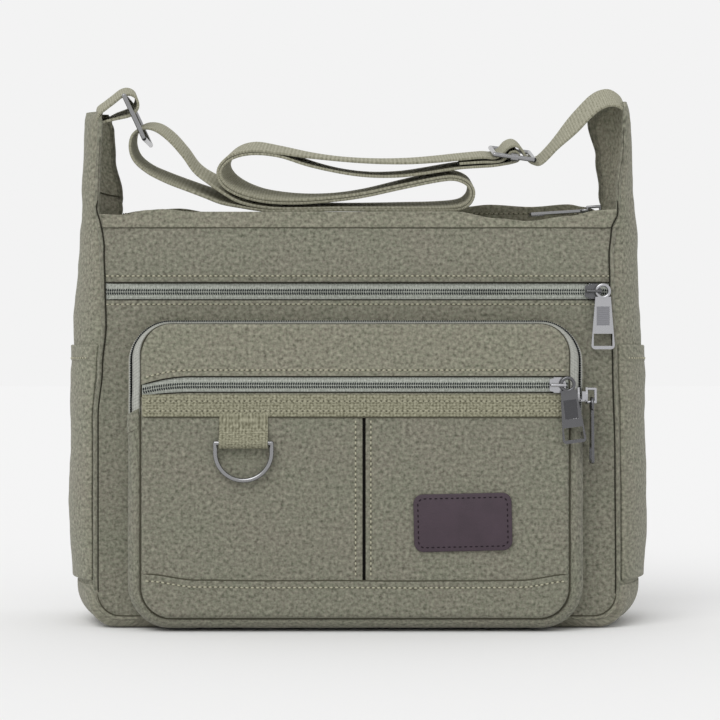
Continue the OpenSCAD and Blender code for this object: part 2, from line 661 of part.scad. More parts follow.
// The adjuster, and its own frame: a along it, b square to it
glide = from_right(62.8, 288);
function on_glide(a, b) = glide + a * [cos(glide_slope), -sin(glide_slope)]
    + b * [sin(glide_slope), cos(glide_slope)];
ring_top = from_left(15.9, 321);

// From the right ear over its top, and down to the adjuster
strap_free = [from_right(1.5, 286), from_right(0.5, 300), from_right(-0.1, 311),
    from_right(2, 319), from_right(9.5, 321.5), from_right(18.5, 316), from_right(28.5, 303.5),
    from_right(38, 291.5)];
// Through the adjuster: under its end bars and over its middle bar
strap_threaded = [on_glide(17, -4), on_glide(12.1, -3), on_glide(7.6, 0), on_glide(4.2, 4.6),
    on_glide(0, 6.6), on_glide(-4.2, 4.6), on_glide(-7.6, 0), on_glide(-12.1, -2.7)];
// Along the top, from the adjuster to the left fold
strap_upper = [[76, 287.2], [62, 286], [48, 284.6], [30, 283.4], [10, 283.4], [-10, 284.6],
    [-30, 287]];
// Both strands together, from the left fold through the right one to the left end:
// the middle of the pair, and half the distance between the two strands
strap_pair = [[-48, 288.8, 1.3], [-63, 290.4, 1.3], [-74, 287, 1.3], [-79.5, 280, 1.3],
    [-78, 272.5, 1.3], [-71, 266, 1.3], [-60, 261, 1.3], [-46, 258.4, 1.3], [-30, 257.6, 1.3],
    [-12, 259, 1.3], [5, 262, 1.3], [25, 267.2, 1.3], [45, 272.4, 1.3], [58, 274.2, 1.3],
    [66.5, 270.5, 1.3], [69.5, 264, 1.3], [67, 257.5, 1.3], [60, 253.3, 1.3], [47, 252, 1.3],
    [30, 252, 1.3], [10, 251.8, 1.3], [-12, 251.8, 1.3], [-35, 252, 1.3], [-54, 253.4, 1.3],
    [-70, 257, 1.8], [-83, 262.6, 3.4]];
// The open loop through the strap's ring
strap_loop = [from_left(61.5, 276.5), from_left(52.5, 288), from_left(43.5, 297),
    from_left(35, 301.6), from_left(27.5, 302), from_left(22.3, 298), from_left(21.1, 291),
    from_left(24, 284), from_left(31, 278.5), from_left(41.5, 273.6), from_left(53.5, 268.6)];
// Under the upper strand, back to the adjuster
strap_lower = [[-32, 282.6], [-18, 278.8], [-4, 276.2], [10, 275], [26, 275.4], [40, 277.2],
    [52, 279.2], [63, 280.8], [74, 281.6]];
// Round the middle bar, and its sewn end
strap_end = [on_glide(-12.1, -7.4), on_glide(-5, -5.2), on_glide(-0.5, -3.6), on_glide(2.6, -2),
    on_glide(3.2, 0.6), on_glide(1, 3), on_glide(-2.2, 2.2), on_glide(-4.2, -0.8),
    on_glide(-7.4, -3.6), on_glide(-12.1, -5.1), on_glide(-18.2, -6.1), on_glide(-32.2, -8.9)];

function strand(side) = [for (i = [0:len(strap_pair) - 1])
    let(flat = [for (q = strap_pair) [q[0], q[1]]])
    flat[i] - side * strap_pair[i][2] * normal(flat, i)];
function reversed(p) = [for (i = [len(p) - 1:-1:0]) p[i]];
strap_route = concat(strap_free, strap_threaded, strap_upper, strand(1), strap_loop,
    reversed(strand(-1)), strap_lower, strap_end);
module shoulder_strap() placed(webbing) band(strap_route, strap_w, strap_t);

// The folded tab that carries the ring on the left ear
tab_route = [from_left(0.3, 286), from_left(-0.1, 298), from_left(1.7, 308),
    from_left(7.5, 316), from_left(12.9, 322), from_left(17.9, 324.2), from_left(21.5, 321),
    from_left(20.9, 315), from_left(15.5, 310.2), from_left(8, 304.6), from_left(3.9, 297),
    from_left(3.1, 286)];
module strap_tab() placed(webbing) band(tab_route, strap_w, strap_t);

// A closed loop of round wire: two bars across, at x = 0 and x = l, and two sides
ring_half = strap_w / 2 + strap_play + strap_wire;
module wire_loop(l) {
    for (x = [0, l]) translate([x, 0, 0]) rotate([90, 0, 0])
        cylinder(r = strap_wire, h = 2 * ring_half, center = true);
    for (y = [-1, 1]) translate([0, y * ring_half, 0]) {
        rotate([0, 90, 0]) cylinder(r = strap_wire, h = l);
        for (x = [0, l]) translate([x, 0, 0]) sphere(strap_wire);
    }
}
module strap_ring() placed(metal) translate([ring_top[0], mouth_y, ring_top[1]])
    rotate([0, 90 - ring_lean, 0]) wire_loop(ring_drop);
module on_adjuster() translate([glide[0], mouth_y, glide[1]]) rotate([0, glide_slope, 0]) children();
module adjuster_frame() placed(metal) on_adjuster() translate([-glide_l / 2, 0, 0]) wire_loop(glide_l);
// The middle bar slides on the sides of the frame with a collar at each end
module adjuster_bar() placed(metal) on_adjuster() {
    rotate([90, 0, 0])
        cylinder(r = strap_wire, h = 2 * (ring_half - strap_wire) - collar_t, center = true);
    for (y = [-1, 1]) translate([0, y * ring_half, 0]) rotate([0, 90, 0]) difference() {
        cylinder(r = strap_wire + collar_t, h = collar_l, center = true);
        cylinder(r = strap_wire + collar_play, h = 2 * collar_l, center = true);
    }
}

base_panel();
front_panel_low();
front_panel_top();
top_hem_front();
back_panel();
top_hem_back();
gusset_left();
gusset_right();
lining();
side_pocket_left();
side_pocket_right();
front_zip_tape();
front_zip_chain();
front_zip_slider();
front_zip_pull();
pocket_boxing();
pocket_piping();
pocket_face_top();
pocket_face_low();
pocket_zip_tape();
pocket_zip_chain();
pocket_zip_slider();
pocket_zip_pull();
face_zip_tape();
face_zip_chain();
face_zip_slider();
face_zip_pull();
webbing_band();
slip_pocket_left();
slip_pocket_right();
foot_band();
d_ring_tab();
d_ring();
leather_patch();
top_facing_front();
top_facing_back();
top_tape_front();
top_tape_back();
top_chain_front();
top_chain_back();
top_end_tape();
top_end_chain();
top_zip_slider();
top_zip_pull();
strap_tab();
strap_ring();
shoulder_strap();
adjuster_frame();
adjuster_bar();
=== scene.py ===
# %% [markdown]
# # A canvas messenger bag
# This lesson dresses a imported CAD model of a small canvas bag. The metal fittings keep their
# exact CAD shapes. Every cloth piece is sewn again as a thin, slightly uneven sheet, because
# canvas that is flat and hard-edged looks like board. Sizes are written in millimetres and are
# turned into metres where a vertex is placed.

import json
import math

import bmesh
import bpy
from mathutils import Matrix, Vector, noise


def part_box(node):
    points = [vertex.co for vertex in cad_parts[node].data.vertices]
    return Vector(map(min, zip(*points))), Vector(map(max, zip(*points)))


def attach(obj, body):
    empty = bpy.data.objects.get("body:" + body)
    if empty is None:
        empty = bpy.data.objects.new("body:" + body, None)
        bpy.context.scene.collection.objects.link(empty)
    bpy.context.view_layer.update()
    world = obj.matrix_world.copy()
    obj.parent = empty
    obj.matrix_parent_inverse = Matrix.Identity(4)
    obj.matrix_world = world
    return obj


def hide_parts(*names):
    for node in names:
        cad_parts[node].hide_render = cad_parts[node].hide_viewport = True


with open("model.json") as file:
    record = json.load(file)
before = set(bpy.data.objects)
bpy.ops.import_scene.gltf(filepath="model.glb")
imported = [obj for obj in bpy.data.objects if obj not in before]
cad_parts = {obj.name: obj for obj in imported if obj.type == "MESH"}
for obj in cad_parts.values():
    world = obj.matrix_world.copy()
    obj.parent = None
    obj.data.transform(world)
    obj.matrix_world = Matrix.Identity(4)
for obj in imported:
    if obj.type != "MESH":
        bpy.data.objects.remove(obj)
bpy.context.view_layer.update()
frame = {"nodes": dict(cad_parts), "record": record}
front_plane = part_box("base_panel")[0].y


def place(x, y, z):
    """A point in millimetres, with y counted from the front panel, as a place in the scene."""
    return Vector((x / 1000, y / 1000 + front_plane, z / 1000))


# %% [markdown]
# ## Canvas, webbing, tape, teeth, metal and leather
# Heather canvas is woven from threads that are not dyed evenly. Round flecks of noise, mixed with
# two stretched noises, one along each thread direction, give that look without a picture. Cloth
# pieces carry a UV map measured in real length, so the weave has one size everywhere.

# %% Colour and pattern helpers
def linear(r, g, b):
    """A colour as a paint chip gives it, from 0 to 255, as the numbers a shader wants."""
    return tuple(
        ((c / 255 + 0.055) / 1.055) ** 2.4 if c > 10 else c / 255 / 12.92 for c in (r, g, b)
    ) + (1.0,)


class Finish:
    """A material with a Principled shader, and short ways to add the nodes that feed it."""

    def __init__(self, name, colour, rough, metal=0.0):
        self.mat = bpy.data.materials.new(name)
        self.mat.use_nodes = True
        self.nodes, self.links = self.mat.node_tree.nodes, self.mat.node_tree.links
        self.shader = self.nodes["Principled BSDF"]
        self.shader.inputs["Base Color"].default_value = colour
        self.shader.inputs["Roughness"].default_value = rough
        self.shader.inputs["Metallic"].default_value = metal

    def add(self, kind, **values):
        node = self.nodes.new(kind)
        for key, value in values.items():
            if key in node.inputs:
                node.inputs[key].default_value = value
            else:
                setattr(node, key, value)
        return node

    def spot(self, scale, uv=True):
        """The UV map, or the object's own space, stretched by scale."""
        source = self.add("ShaderNodeTexCoord")
        mapping = self.add("ShaderNodeMapping", Scale=scale)
        self.links.new(source.outputs["UV" if uv else "Object"], mapping.inputs["Vector"])
        return mapping.outputs["Vector"]

    def noise(self, scale, uv=True, detail=3.0, rough=0.6):
        node = self.add("ShaderNodeTexNoise", Scale=1.0, Detail=detail, Roughness=rough)
        self.links.new(self.spot(scale, uv), node.inputs["Vector"])
        return node.outputs["Fac"]

    def blend(self, fac, a, b, kind="MIX"):
        node = self.add("ShaderNodeMix", data_type="RGBA", blend_type=kind)
        for socket, value in ((node.inputs[0], fac), (node.inputs[6], a), (node.inputs[7], b)):
            if hasattr(value, "links"):
                self.links.new(value, socket)
            else:
                socket.default_value = value
        return node.outputs[2]

    def ramp(self, fac, low, high):
        node = self.add("ShaderNodeMapRange", **{"From Min": low, "From Max": high})
        self.links.new(fac, node.inputs["Value"])
        return node.outputs["Result"]

    def sum(self, a, b, weight=1.0):
        node = self.add("ShaderNodeMath", operation="MULTIPLY_ADD")
        self.links.new(b, node.inputs[0])
        node.inputs[1].default_value = weight
        self.links.new(a, node.inputs[2])
        return node.outputs[0]

    def bump(self, height, strength, distance):
        node = self.add("ShaderNodeBump", Strength=strength, Distance=distance)
        self.links.new(height, node.inputs["Height"])
        self.links.new(node.outputs["Normal"], self.shader.inputs["Normal"])

    def paint(self, colour):
        self.links.new(colour, self.shader.inputs["Base Color"])


# %% Canvas
def canvas(name, level):
    """Heather canvas: soft dark and light flecks with a little green and red, and a drift of hue."""
    dark, mid, light = (
        [c * k for c, k in zip(linear(*tone), level)] + [1] for tone in (
            (72, 71, 61), (120, 118.6, 105.6), (166, 164, 149)
        )
    )
    cloth = Finish(name, mid, 0.92)
    flecks = cloth.noise((46, 46, 1), detail=2.4, rough=0.55)
    slubs = cloth.sum(cloth.noise((60, 34, 1), detail=1.0), cloth.noise((34, 60, 1), detail=1.0))
    pattern = cloth.sum(flecks, slubs, 0.35)
    colour = cloth.blend(cloth.ramp(pattern, 0.55, 1.15), dark, light)
    hue = cloth.sum(cloth.noise((2.6, 2.6, 1), detail=2.0), cloth.noise((52, 52, 4), detail=1.0), 1.4)
    warm = (mid[0] * 1.15, mid[1] * 1.0, mid[2] * 1.1, 1)
    cool = (mid[0] * 0.83, mid[1] * 1.0, mid[2] * 0.88, 1)
    cloth.paint(cloth.blend(0.28, colour, cloth.blend(cloth.ramp(hue, 0.9, 1.5), cool, warm)))
    cloth.bump(cloth.sum(pattern, cloth.noise((9, 9, 1)), 0.8), 0.4, 0.0005)
    cloth.shader.inputs["Sheen Weight"].default_value = 0.12
    cloth.shader.inputs["Sheen Roughness"].default_value = 0.5
    cloth.shader.inputs["Specular IOR Level"].default_value = 0.15
    return cloth.mat


canvas_main = canvas("heather_canvas", (0.905, 0.91, 0.885))
# A lighter copy of the same canvas for the sides, the side pockets, the front hem and the pocket's top
# face: painted light, for the extra light that falls on them.
canvas_painted_light = canvas("heather_canvas_painted_light", (1.03, 1.03, 0.99))
# A much lighter copy for the ear facings and the back hem: painted light that lifts them out of the
# shade they sit in.
canvas_painted_bright = canvas("heather_canvas_painted_bright", (1.42, 1.4, 1.35))
# A lighter copy for the base, the wall behind the pocket's zip, the mouth's facings, the foot ridges
# and the piping: painted light that lifts these shaded parts.
canvas_shade_lifted = canvas("heather_canvas_shade_lifted", (1.06, 1.05, 1.02))
print("canvas ready")

# %% [markdown]
# ## Webbing
# Webbing shows small ribs across its width and threads along it. Two wave textures, broken by
# noise, make them, and the same pattern lifts the surface.

# %% Webbing, tape, lining and thread
def webbing_cloth(name, dark, light, scale, ribs=0.3):
    """Woven webbing or tape: fine ribs across it and along it, broken up by its grain."""
    cloth = Finish(name, light, 0.9)
    wave = cloth.add(
        "ShaderNodeTexWave", wave_type="BANDS", bands_direction="Y", Scale=scale, Distortion=1.6
    )
    wave.inputs["Detail Scale"].default_value = 3.0
    cloth.links.new(cloth.spot((1, 1, 1)), wave.inputs["Vector"])
    warp = cloth.add(
        "ShaderNodeTexWave", wave_type="BANDS", bands_direction="X", Scale=scale * 0.8, Distortion=1.6
    )
    cloth.links.new(cloth.spot((1, 1, 1)), warp.inputs["Vector"])
    pattern = cloth.sum(cloth.noise((66, 66, 1), detail=1.5), wave.outputs["Fac"], ribs)
    pattern = cloth.sum(pattern, warp.outputs["Fac"], ribs)
    cloth.paint(cloth.blend(cloth.ramp(pattern, 0.4, 0.7 + 2 * ribs), dark, light))
    cloth.bump(pattern, 0.45, 0.0004)
    cloth.shader.inputs["Specular IOR Level"].default_value = 0.2
    return cloth.mat


strap_webbing = webbing_cloth("strap_webbing", linear(120, 118, 100), linear(186, 184, 165), 20.0, 0.2)
band_webbing = webbing_cloth("band_webbing", linear(98, 96, 77), linear(170, 168, 146), 20.0, 0.13)
tape_cloth = webbing_cloth("zip_tape", linear(135, 139, 130), linear(183, 186, 178), 22.0, 0.15)
# A lighter copy of the tape for the pocket's wall zip: painted light, standing in for the highlight
# along that wall.
tape_painted_highlight = webbing_cloth("zip_tape_painted_highlight", linear(146, 147, 140), linear(186, 187, 180), 22.0)
lining_cloth = webbing_cloth("lining_cloth", linear(46, 46, 40), linear(70, 70, 62), 20.0)


def plain(name, colour, rough=0.95):
    finish = Finish(name, linear(*colour), rough)
    finish.shader.inputs["Specular IOR Level"].default_value = 0.1
    return finish.mat


thread = plain("thread", (174, 171, 150), 0.8)
dent_shade = plain("dent_shade", (90, 88, 75))
dark_thread = plain("dark_thread", (38, 30, 36), 0.7)
seam_shade = plain("seam_shade", (78, 76, 64))
deep_shade = plain("deep_shade", (46, 45, 38))
slot_shade = plain("slot_shade", (15, 14, 12))
teeth = plain("zip_teeth", (46, 49, 50), 0.5)


# %% Metal and leather
def plated_metal(name, colour, rough):
    plate = Finish(name, colour, rough, 1.0)
    wear = plate.noise((900, 900, 900), uv=False)
    spread = plate.add(
        "ShaderNodeMapRange",
        **{"From Min": 0.3, "From Max": 0.7, "To Min": rough * 0.8, "To Max": rough * 1.3}
    )
    plate.links.new(wear, spread.inputs["Value"])
    plate.links.new(spread.outputs["Result"], plate.shader.inputs["Roughness"])
    return plate.mat


bright_metal = plated_metal("bright_plated_metal", linear(178, 178, 181), 0.22)
grey_metal = plated_metal("grey_plated_metal", linear(146, 146, 147), 0.22)
dark_metal = plated_metal("gunmetal", linear(104, 104, 106), 0.26)
# A bright metal for the narrow bevels on sharp edges: a painted highlight.
highlight_edge_metal = plated_metal("painted_highlight_metal_edge", linear(214, 213, 216), 0.2)


def grained_leather():
    hide = Finish("leather", linear(57, 45, 53), 0.5)
    cells = hide.add("ShaderNodeTexVoronoi", Scale=1100.0)
    hide.links.new(hide.spot((1, 1, 1), uv=False), cells.inputs["Vector"])
    hide.bump(cells.outputs["Distance"], 0.35, 0.0003)
    hide.paint(hide.blend(hide.noise((90, 90, 90), uv=False), linear(48, 35, 44), linear(66, 50, 61)))
    return hide.mat


leather = grained_leather()
light_panel = plated_metal("light_panel", linear(140, 140, 144), 0.45)
dark_panel = plated_metal("dark_panel", linear(84, 84, 86), 0.45)

# %% [markdown]
# ## The bag's form
# The panels follow a few smooth lines: the side seams seen from the front, and the profile seen
# from the side. Each cloth piece reads these lines, so that neighbours meet. A little slack,
# made of soft noise, keeps the surfaces from being ruled flat.

# %% Lines of the form
def rise(a, b, v):
    t = min(1.0, max(0.0, (v - a) / (b - a)))
    return t * t * (3 - 2 * t)


def through(points, v):
    """A smooth line through points given as (place, value)."""
    for (a, p), (b, q) in zip(points, points[1:]):
        if v <= b:
            return p + (q - p) * rise(a, b, v)
    return points[-1][1]


LEFT_OUT = [
    (0, 163), (3, 165.5), (6, 167.5), (11, 170.6), (17, 173.1), (29, 174.5), (100, 175), (176, 175.8),
    (186, 175.6), (198, 174.6), (217, 172.9), (229, 172), (244, 171.2), (255, 170.7), (266, 171.2),
    (291, 169.9), (306, 169), (314, 167.5)
]
RIGHT_OUT = [
    (0, 160), (3, 163.5), (6, 167), (11, 169.2), (17, 172.4), (23, 173.8), (29, 174.6), (100, 175),
    (176, 174.9), (186, 174.5), (198, 173.4), (217, 172.9), (229, 172.5), (244, 171.8), (255, 170.8),
    (266, 170), (291, 169.3), (303, 169.2), (310, 168), (318, 166.7)
]
LEFT_SEAM = [
    (0, 157.2), (28, 158), (127, 158), (156, 155.4), (182, 153.2), (206, 153.8), (228, 154.6),
    (244, 156.5), (254, 158.6), (275, 158.4), (306, 157.3), (320, 157.2)
]
RIGHT_SEAM = [
    (0, 156), (29, 156.6), (103, 156.2), (158, 154.8), (205, 153.0), (223, 152.8), (241, 154.6),
    (250, 157.2), (262, 158.6), (293, 162.2), (320, 163.4)
]
MOUTH = 33.0
FRONT_ZIP, WINDOW = 202.2, 5.4
# How far the back edge of each ear leans in
LEFT_CUP = [(238, 0), (249, 8), (255, 9.6), (265, 8.4), (287, 3.8), (304, 2.3), (320, 2)]
RIGHT_CUP = [(238, 0), (252, 4), (267, 5.5), (287, 10.7), (311, 17), (320, 18.5)]


def seam(side, z):
    return through(RIGHT_SEAM if side > 0 else LEFT_SEAM, z)


def front_y(z):
    return 6.0 * rise(211, 250, z)


def back_y(z):
    h = min(1.0, max(0.0, z / 250))
    return 100 + 4 * math.sin(math.pi * h) - 40 * h**1.6


def slack(a, b, seed, size=40.0):
    """Soft unevenness from about -1 to 1 at a place a by b millimetres on a piece."""
    p = Vector((a / size, b / size, seed))
    return noise.noise(p) + 0.5 * noise.noise(p * 2.1) + 0.25 * noise.noise(p * 4.7)


def pinned(u, v, reach=0.08):
    """0 at the sewn edges of a piece and 1 inside it."""
    return max(0.0, min(1.0, u / reach, (1 - u) / reach, v / reach, (1 - v) / reach))


# %% [markdown]
# ## Sewing a sheet
# A grid is the natural start for a cloth piece: its rows and columns are the threads. Every
# corner is moved to its place on the form. Solidify then gives the cloth its thickness and a
# narrow Bevel rounds the cut edges, which is cheaper than modelling them.

# %% Sheet, bead and stitch helpers
def finish_piece(
    bm, name, material, body="bag", replaces=(), thickness=0.0, bevel=0.0, offset=-1.0, smooth=True
):
    mesh = bpy.data.meshes.new(name)
    for face in bm.faces:
        face.smooth = smooth
    bm.to_mesh(mesh)
    bm.free()
    mesh.materials.append(material)
    piece = bpy.data.objects.new(name, mesh)
    bpy.context.scene.collection.objects.link(piece)
    if thickness:
        wall = piece.modifiers.new("thickness", "SOLIDIFY")
        wall.thickness, wall.offset, wall.use_even_offset = thickness / 1000, offset, True
    if bevel:
        edge = piece.modifiers.new("soft_edge", "BEVEL")
        edge.width, edge.segments = bevel / 1000, 2
        edge.limit_method, edge.angle_limit = "ANGLE", math.radians(60)
    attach(piece, body)
    if replaces:
        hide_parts(*replaces)
    return piece


def grid_of(form, size, cells, out=None, upright=False):
    """A grid mapped through form(u, v), with a UV map in units of 100 mm.
    An upright piece takes its UV map straight from its width and height, so its weave stays square."""
    bm = bmesh.new()
    bmesh.ops.create_grid(bm, x_segments=cells[0], y_segments=cells[1], size=0.5)
    uv = bm.loops.layers.uv.new("weave")
    spots = {}
    for vert in bm.verts:
        u, v = min(1.0, max(0.0, vert.co.x + 0.5)), min(1.0, max(0.0, vert.co.y + 0.5))
        x, y, z = form(u, v)
        spots[vert] = (
            (x + 31 * size[1]) / 100, (z + 7 * size[0]) / 100
        ) if upright else (u * size[0] / 100, v * size[1] / 100)
        vert.co = place(x, y, z)
    for face in bm.faces:
        for loop in face.loops:
            loop[uv].uv = spots[loop.vert]
    bm.normal_update()
    if out is not None:
        facing = sum(
            f.normal.dot(Vector(out(f.calc_center_median()))) * f.calc_area() for f in bm.faces
        )
        if facing < 0:
            bmesh.ops.reverse_faces(bm, faces=bm.faces)
    return bm


FORWARD, BACKWARD, ACROSS = (0, -1, 0), (0, 1, 0), (0, 1, 0)


def sheet(name, form, size, cells, material, out, thickness=1.6, bevel=0.35, **more):
    """A cloth piece. out is the direction that its good side faces, or a function that gives it."""
    fixed = not callable(out)
    grid = grid_of(form, size, cells, (lambda p: out) if fixed else out, fixed and out[1] != 0)
    return finish_piece(grid, name, material, thickness=thickness, bevel=bevel, **more)


def bead(name, path, radius, steps, material, side=(0, -1, 0), round_to=10, **more):
    """A soft round cord of cloth along path(t), closed at both ends."""
    reference = Vector(side)

    def form(u, v):
        here, ahead, behind = Vector(path(v)), Vector(
            path(min(1, v + 0.002))
        ), Vector(path(max(0, v - 0.002)))
        run = (ahead - behind).normalized()
        a = (reference - run * reference.dot(run)).normalized()
        b = run.cross(a)
        r = radius * min(1.0, math.sqrt(max(0.0, min(v, 1 - v)) * steps / 2 + 1e-4))
        angle = 2 * math.pi * u
        return here + (a * math.cos(angle) + b * math.sin(angle)) * r

    bm = grid_of(form, (radius * 6.3, 1.6 * steps), (round_to, steps))
    bmesh.ops.remove_doubles(bm, verts=bm.verts, dist=1e-6)
    bmesh.ops.holes_fill(bm, edges=[e for e in bm.edges if e.is_boundary], sides=0)
    bmesh.ops.recalc_face_normals(bm, faces=bm.faces)
    return finish_piece(bm, name, material, **more)


def small_bead():
    """One tiny round bead, made once. Stitches and zip teeth are stretched copies of it."""
    bm = bmesh.new()
    bmesh.ops.create_uvsphere(bm, u_segments=6, v_segments=4, radius=1)
    mesh = bpy.data.meshes.new("small_bead")
    bm.to_mesh(mesh)
    bm.free()
    return mesh


BEAD = small_bead()


def add_bead(bm, turn):
    copy = BEAD.copy()
    copy.transform(turn)
    bm.from_mesh(copy)
    bpy.data.meshes.remove(copy)


def stitch_row(bm, path, length, out, pitch=3.1, long=2.0, wide=1.1, high=0.42, shift=0.0):
    """Stitches along path(t), t from 0 to 1, lying on a surface that faces out."""
    count = max(1, round(length / pitch))
    for k in range(count):
        t = (k + 0.5 + shift) / count
        if t > 0.998:
            break
        here, ahead = place(*path(t)), place(*path(t + 0.002))
        run = (ahead - here).normalized() if (ahead - here).length > 1e-9 else Vector((1, 0, 0))
        up = Vector(out)
        up = (up - run * up.dot(run)).normalized()
        turn = Matrix((run, up.cross(run), up)).transposed().to_4x4()
        grow = Matrix.Diagonal((long / 2000, wide / 2000, high / 1000, 1))
        add_bead(bm, Matrix.Translation(here) @ turn @ grow)


def stitches(name, rows, material=thread, holes=True):
    """Rows of stitches, with a tiny dark bead of painted shade between each two, for the dent where the
    thread goes in.
    """
    bm = bmesh.new()
    for row in rows:
        stitch_row(bm, **row)
    if holes:
        # Each dent is a tiny dark bead of painted shade, not a hollow.
        dents = bmesh.new()
        for row in rows:
            stitch_row(dents, **{**row, "shift": 0.5, "long": 0.8, "wide": 1.1, "high": 0.14})
        finish_piece(dents, name + "_painted_dent_shade", dent_shade)
    return finish_piece(bm, name, material)


def seam_line(name, path, steps=80, radius=0.36, material=seam_shade):
    """The narrow shaded groove of a seam, drawn as a thin dark cord lying in it."""
    return bead(name, path, radius, steps, material, round_to=6)


print("helpers ready")

# %% [markdown]
# ## The base
# The foot of the bag is one piece of canvas that turns up into both sides with a wide, soft
# corner. It rests flat on the floor. Its front and back edges roll up to their seams.

# %% Base
def swell(side, z, t):
    """How far a side stands out beyond its seam, at share t of the way from front to back."""
    depth = max(0.0, math.sin(math.pi * t)) ** 0.7
    return (through(RIGHT_OUT if side > 0 else LEFT_OUT, z) - seam(side, z)) * depth


def base_form(u, v):
    y = 0.8 + 98.4 * v
    edge = min(y - 0.6, 99.4 - y)
    lift = 6.2 * (1 - math.sqrt(max(0.0, 1 - (1 - edge / 7) ** 2))) if edge < 7 else 0.0
    corner = 14 + 9 * rise(0, 16, edge)
    side = -1 if u < 0.5 else 1
    half = seam(side, 26) - 0.4 + swell(side, 28, (y - 0.8) / 98.4)
    top = 26.0
    spans = [top - lift - corner, corner * math.pi / 2, half - corner]
    d = abs(2 * u - 1) * sum(spans)
    if d < spans[2]:
        return side * d, y, lift
    if d < spans[2] + spans[1]:
        a = (d - spans[2]) / corner
        return side * (spans[2] + corner * math.sin(a)), y, lift + corner * (1 - math.cos(a))
    return side * half, y, lift + corner + d - spans[2] - spans[1]


base = sheet(
    "base_cloth", base_form, (370, 98), (150, 44), canvas_shade_lifted, (0, 0, -1), thickness=1.8,
    replaces=["base_panel"]
)
print("base", len(base.data.vertices), "corners before thickness")

# %% [markdown]
# ## Front and back panels
# The front panel is cut in two by its zip. Both edges of the gap are folded under, so they are
# thick and catch the light. Its lower corners are rounded to follow the base.

# %% Front panels
PANEL_FOOT, PANEL_CORNER = 6.3, 14.0


def corner_half(side, z, foot=PANEL_FOOT, corner=PANEL_CORNER):
    """Half width of the front or back panel, with its rounded lower corners."""
    half = seam(side, z)
    if z < foot + corner:
        half -= corner - math.sqrt(max(0.0, corner**2 - (foot + corner - z) ** 2))
    return half


def front_skin(x, z):
    """How far forward the front panel lies."""
    edge = min(1.0, (158 - abs(x)) / 14)
    hollow = 0.9 * rise(128, 150, abs(x)) * (1 - rise(150, 157, abs(x)))
    return front_y(z) - 0.5 * slack(x, z, 3.1, 46) * max(0.0, edge) + hollow * 0.6


def low_height(v, z1):
    """Rows are closer together in the round lower corners."""
    foot, corner = PANEL_FOOT, PANEL_CORNER
    if v < 0.12:
        return foot + corner * (1 - math.cos(v / 0.12 * math.pi / 2))
    return foot + corner + (z1 - foot - corner) * (v - 0.12) / 0.88


def front_low_form(u, v):
    z = low_height(v, FRONT_ZIP - WINDOW)
    x = -corner_half(-1, z) + u * (corner_half(-1, z) + corner_half(1, z))
    return x, front_skin(x, z), z


def front_top_form(u, v):
    z = FRONT_ZIP + WINDOW + v * (241.5 - FRONT_ZIP - WINDOW)
    x = -seam(-1, z) + u * (seam(-1, z) + seam(1, z))
    return x, front_skin(x, z), z


low = sheet(
    "front_panel_low_cloth", front_low_form, (314, 190), (110, 70), canvas_main, FORWARD, thickness=2.0,
    bevel=0.7, replaces=["front_panel_low"]
)
top = sheet(
    "front_panel_top_cloth", front_top_form, (314, 34), (110, 16), canvas_main, FORWARD, thickness=2.0,
    bevel=0.7, replaces=["front_panel_top"]
)


# %% Hems
HEM_TOP = [
    (-156, 249), (-143, 248.6), (-127, 251.4), (-118, 252), (-99, 250.4), (-58, 250.4), (58, 250.6),
    (84, 246.4), (102, 244.8), (127, 247.8), (145, 251.4), (157, 252)
]


def hem_front_form(u, v):
    x = -156.8 + u * (156.8 + 157.6)
    z = 240.9 + v * (through(HEM_TOP, x) - 240.9)
    return x, front_y(z) - 0.7 - 0.35 * slack(x, z, 8.2, 30), z


BACK_HEM_TOP = [
    (-157, 251), (-135, 254.6), (-112, 256), (-90, 253), (-60, 252.5), (40, 252.5), (66, 257),
    (82, 258.4), (108, 257), (132, 258.6), (142, 257), (157, 252)
]


def hem_back_form(u, v):
    x = 157.6 - u * (156.8 + 157.6)
    z = 241 + v * (through(BACK_HEM_TOP, x) - 241)
    return x, back_y(min(z, 250)) + 0.6 + 0.35 * slack(x, z, 5.2, 30), z


sheet(
    "hem_front_cloth", hem_front_form, (314, 9), (120, 8), canvas_painted_light, FORWARD, thickness=3.2,
    bevel=1.0, replaces=["top_hem_front"]
)
sheet(
    "hem_back_cloth", hem_back_form, (314, 12), (120, 8), canvas_painted_bright, BACKWARD, thickness=3.2,
    bevel=1.0, replaces=["top_hem_back"]
)


# %% Back panel
def back_form(u, v):
    z = low_height(v, 241.6)
    x = corner_half(1, z) - u * (corner_half(-1, z) + corner_half(1, z))
    return x, back_y(z) + 0.9 * slack(x, z, 6.6, 60) * pinned(u, v), z


sheet(
    "back_panel_cloth", back_form, (314, 240), (90, 70), canvas_main, BACKWARD, thickness=2.0,
    bevel=0.7, replaces=["back_panel"]
)
print("panels and hems made")

# %% [markdown]
# ## Gussets, ears and side pockets
# Each side is one strip of canvas that swells outwards and narrows into an ear above the mouth.
# The right ear is pulled by the strap, so its back edge leans in. An open patch pocket is sewn
# on each side, with a wide hem at its mouth.

# %% Gussets
EAR_TOP = {-1: 313.0, 1: 319.0}


def gusset_edges(z, side=-1):
    taper = rise(250, 290, z)
    over = z - EAR_TOP[side] + 13
    cut = 12 - math.sqrt(max(0.0, 144 - over**2)) if over > 0 else 0.0
    front = (1 - taper) * (front_y(z) + 1.6) + taper * (MOUTH - 21.8) + cut
    back = (1 - taper) * (back_y(min(z, 250)) - 1.6) + taper * (MOUTH + 21.8) - cut
    return front, back


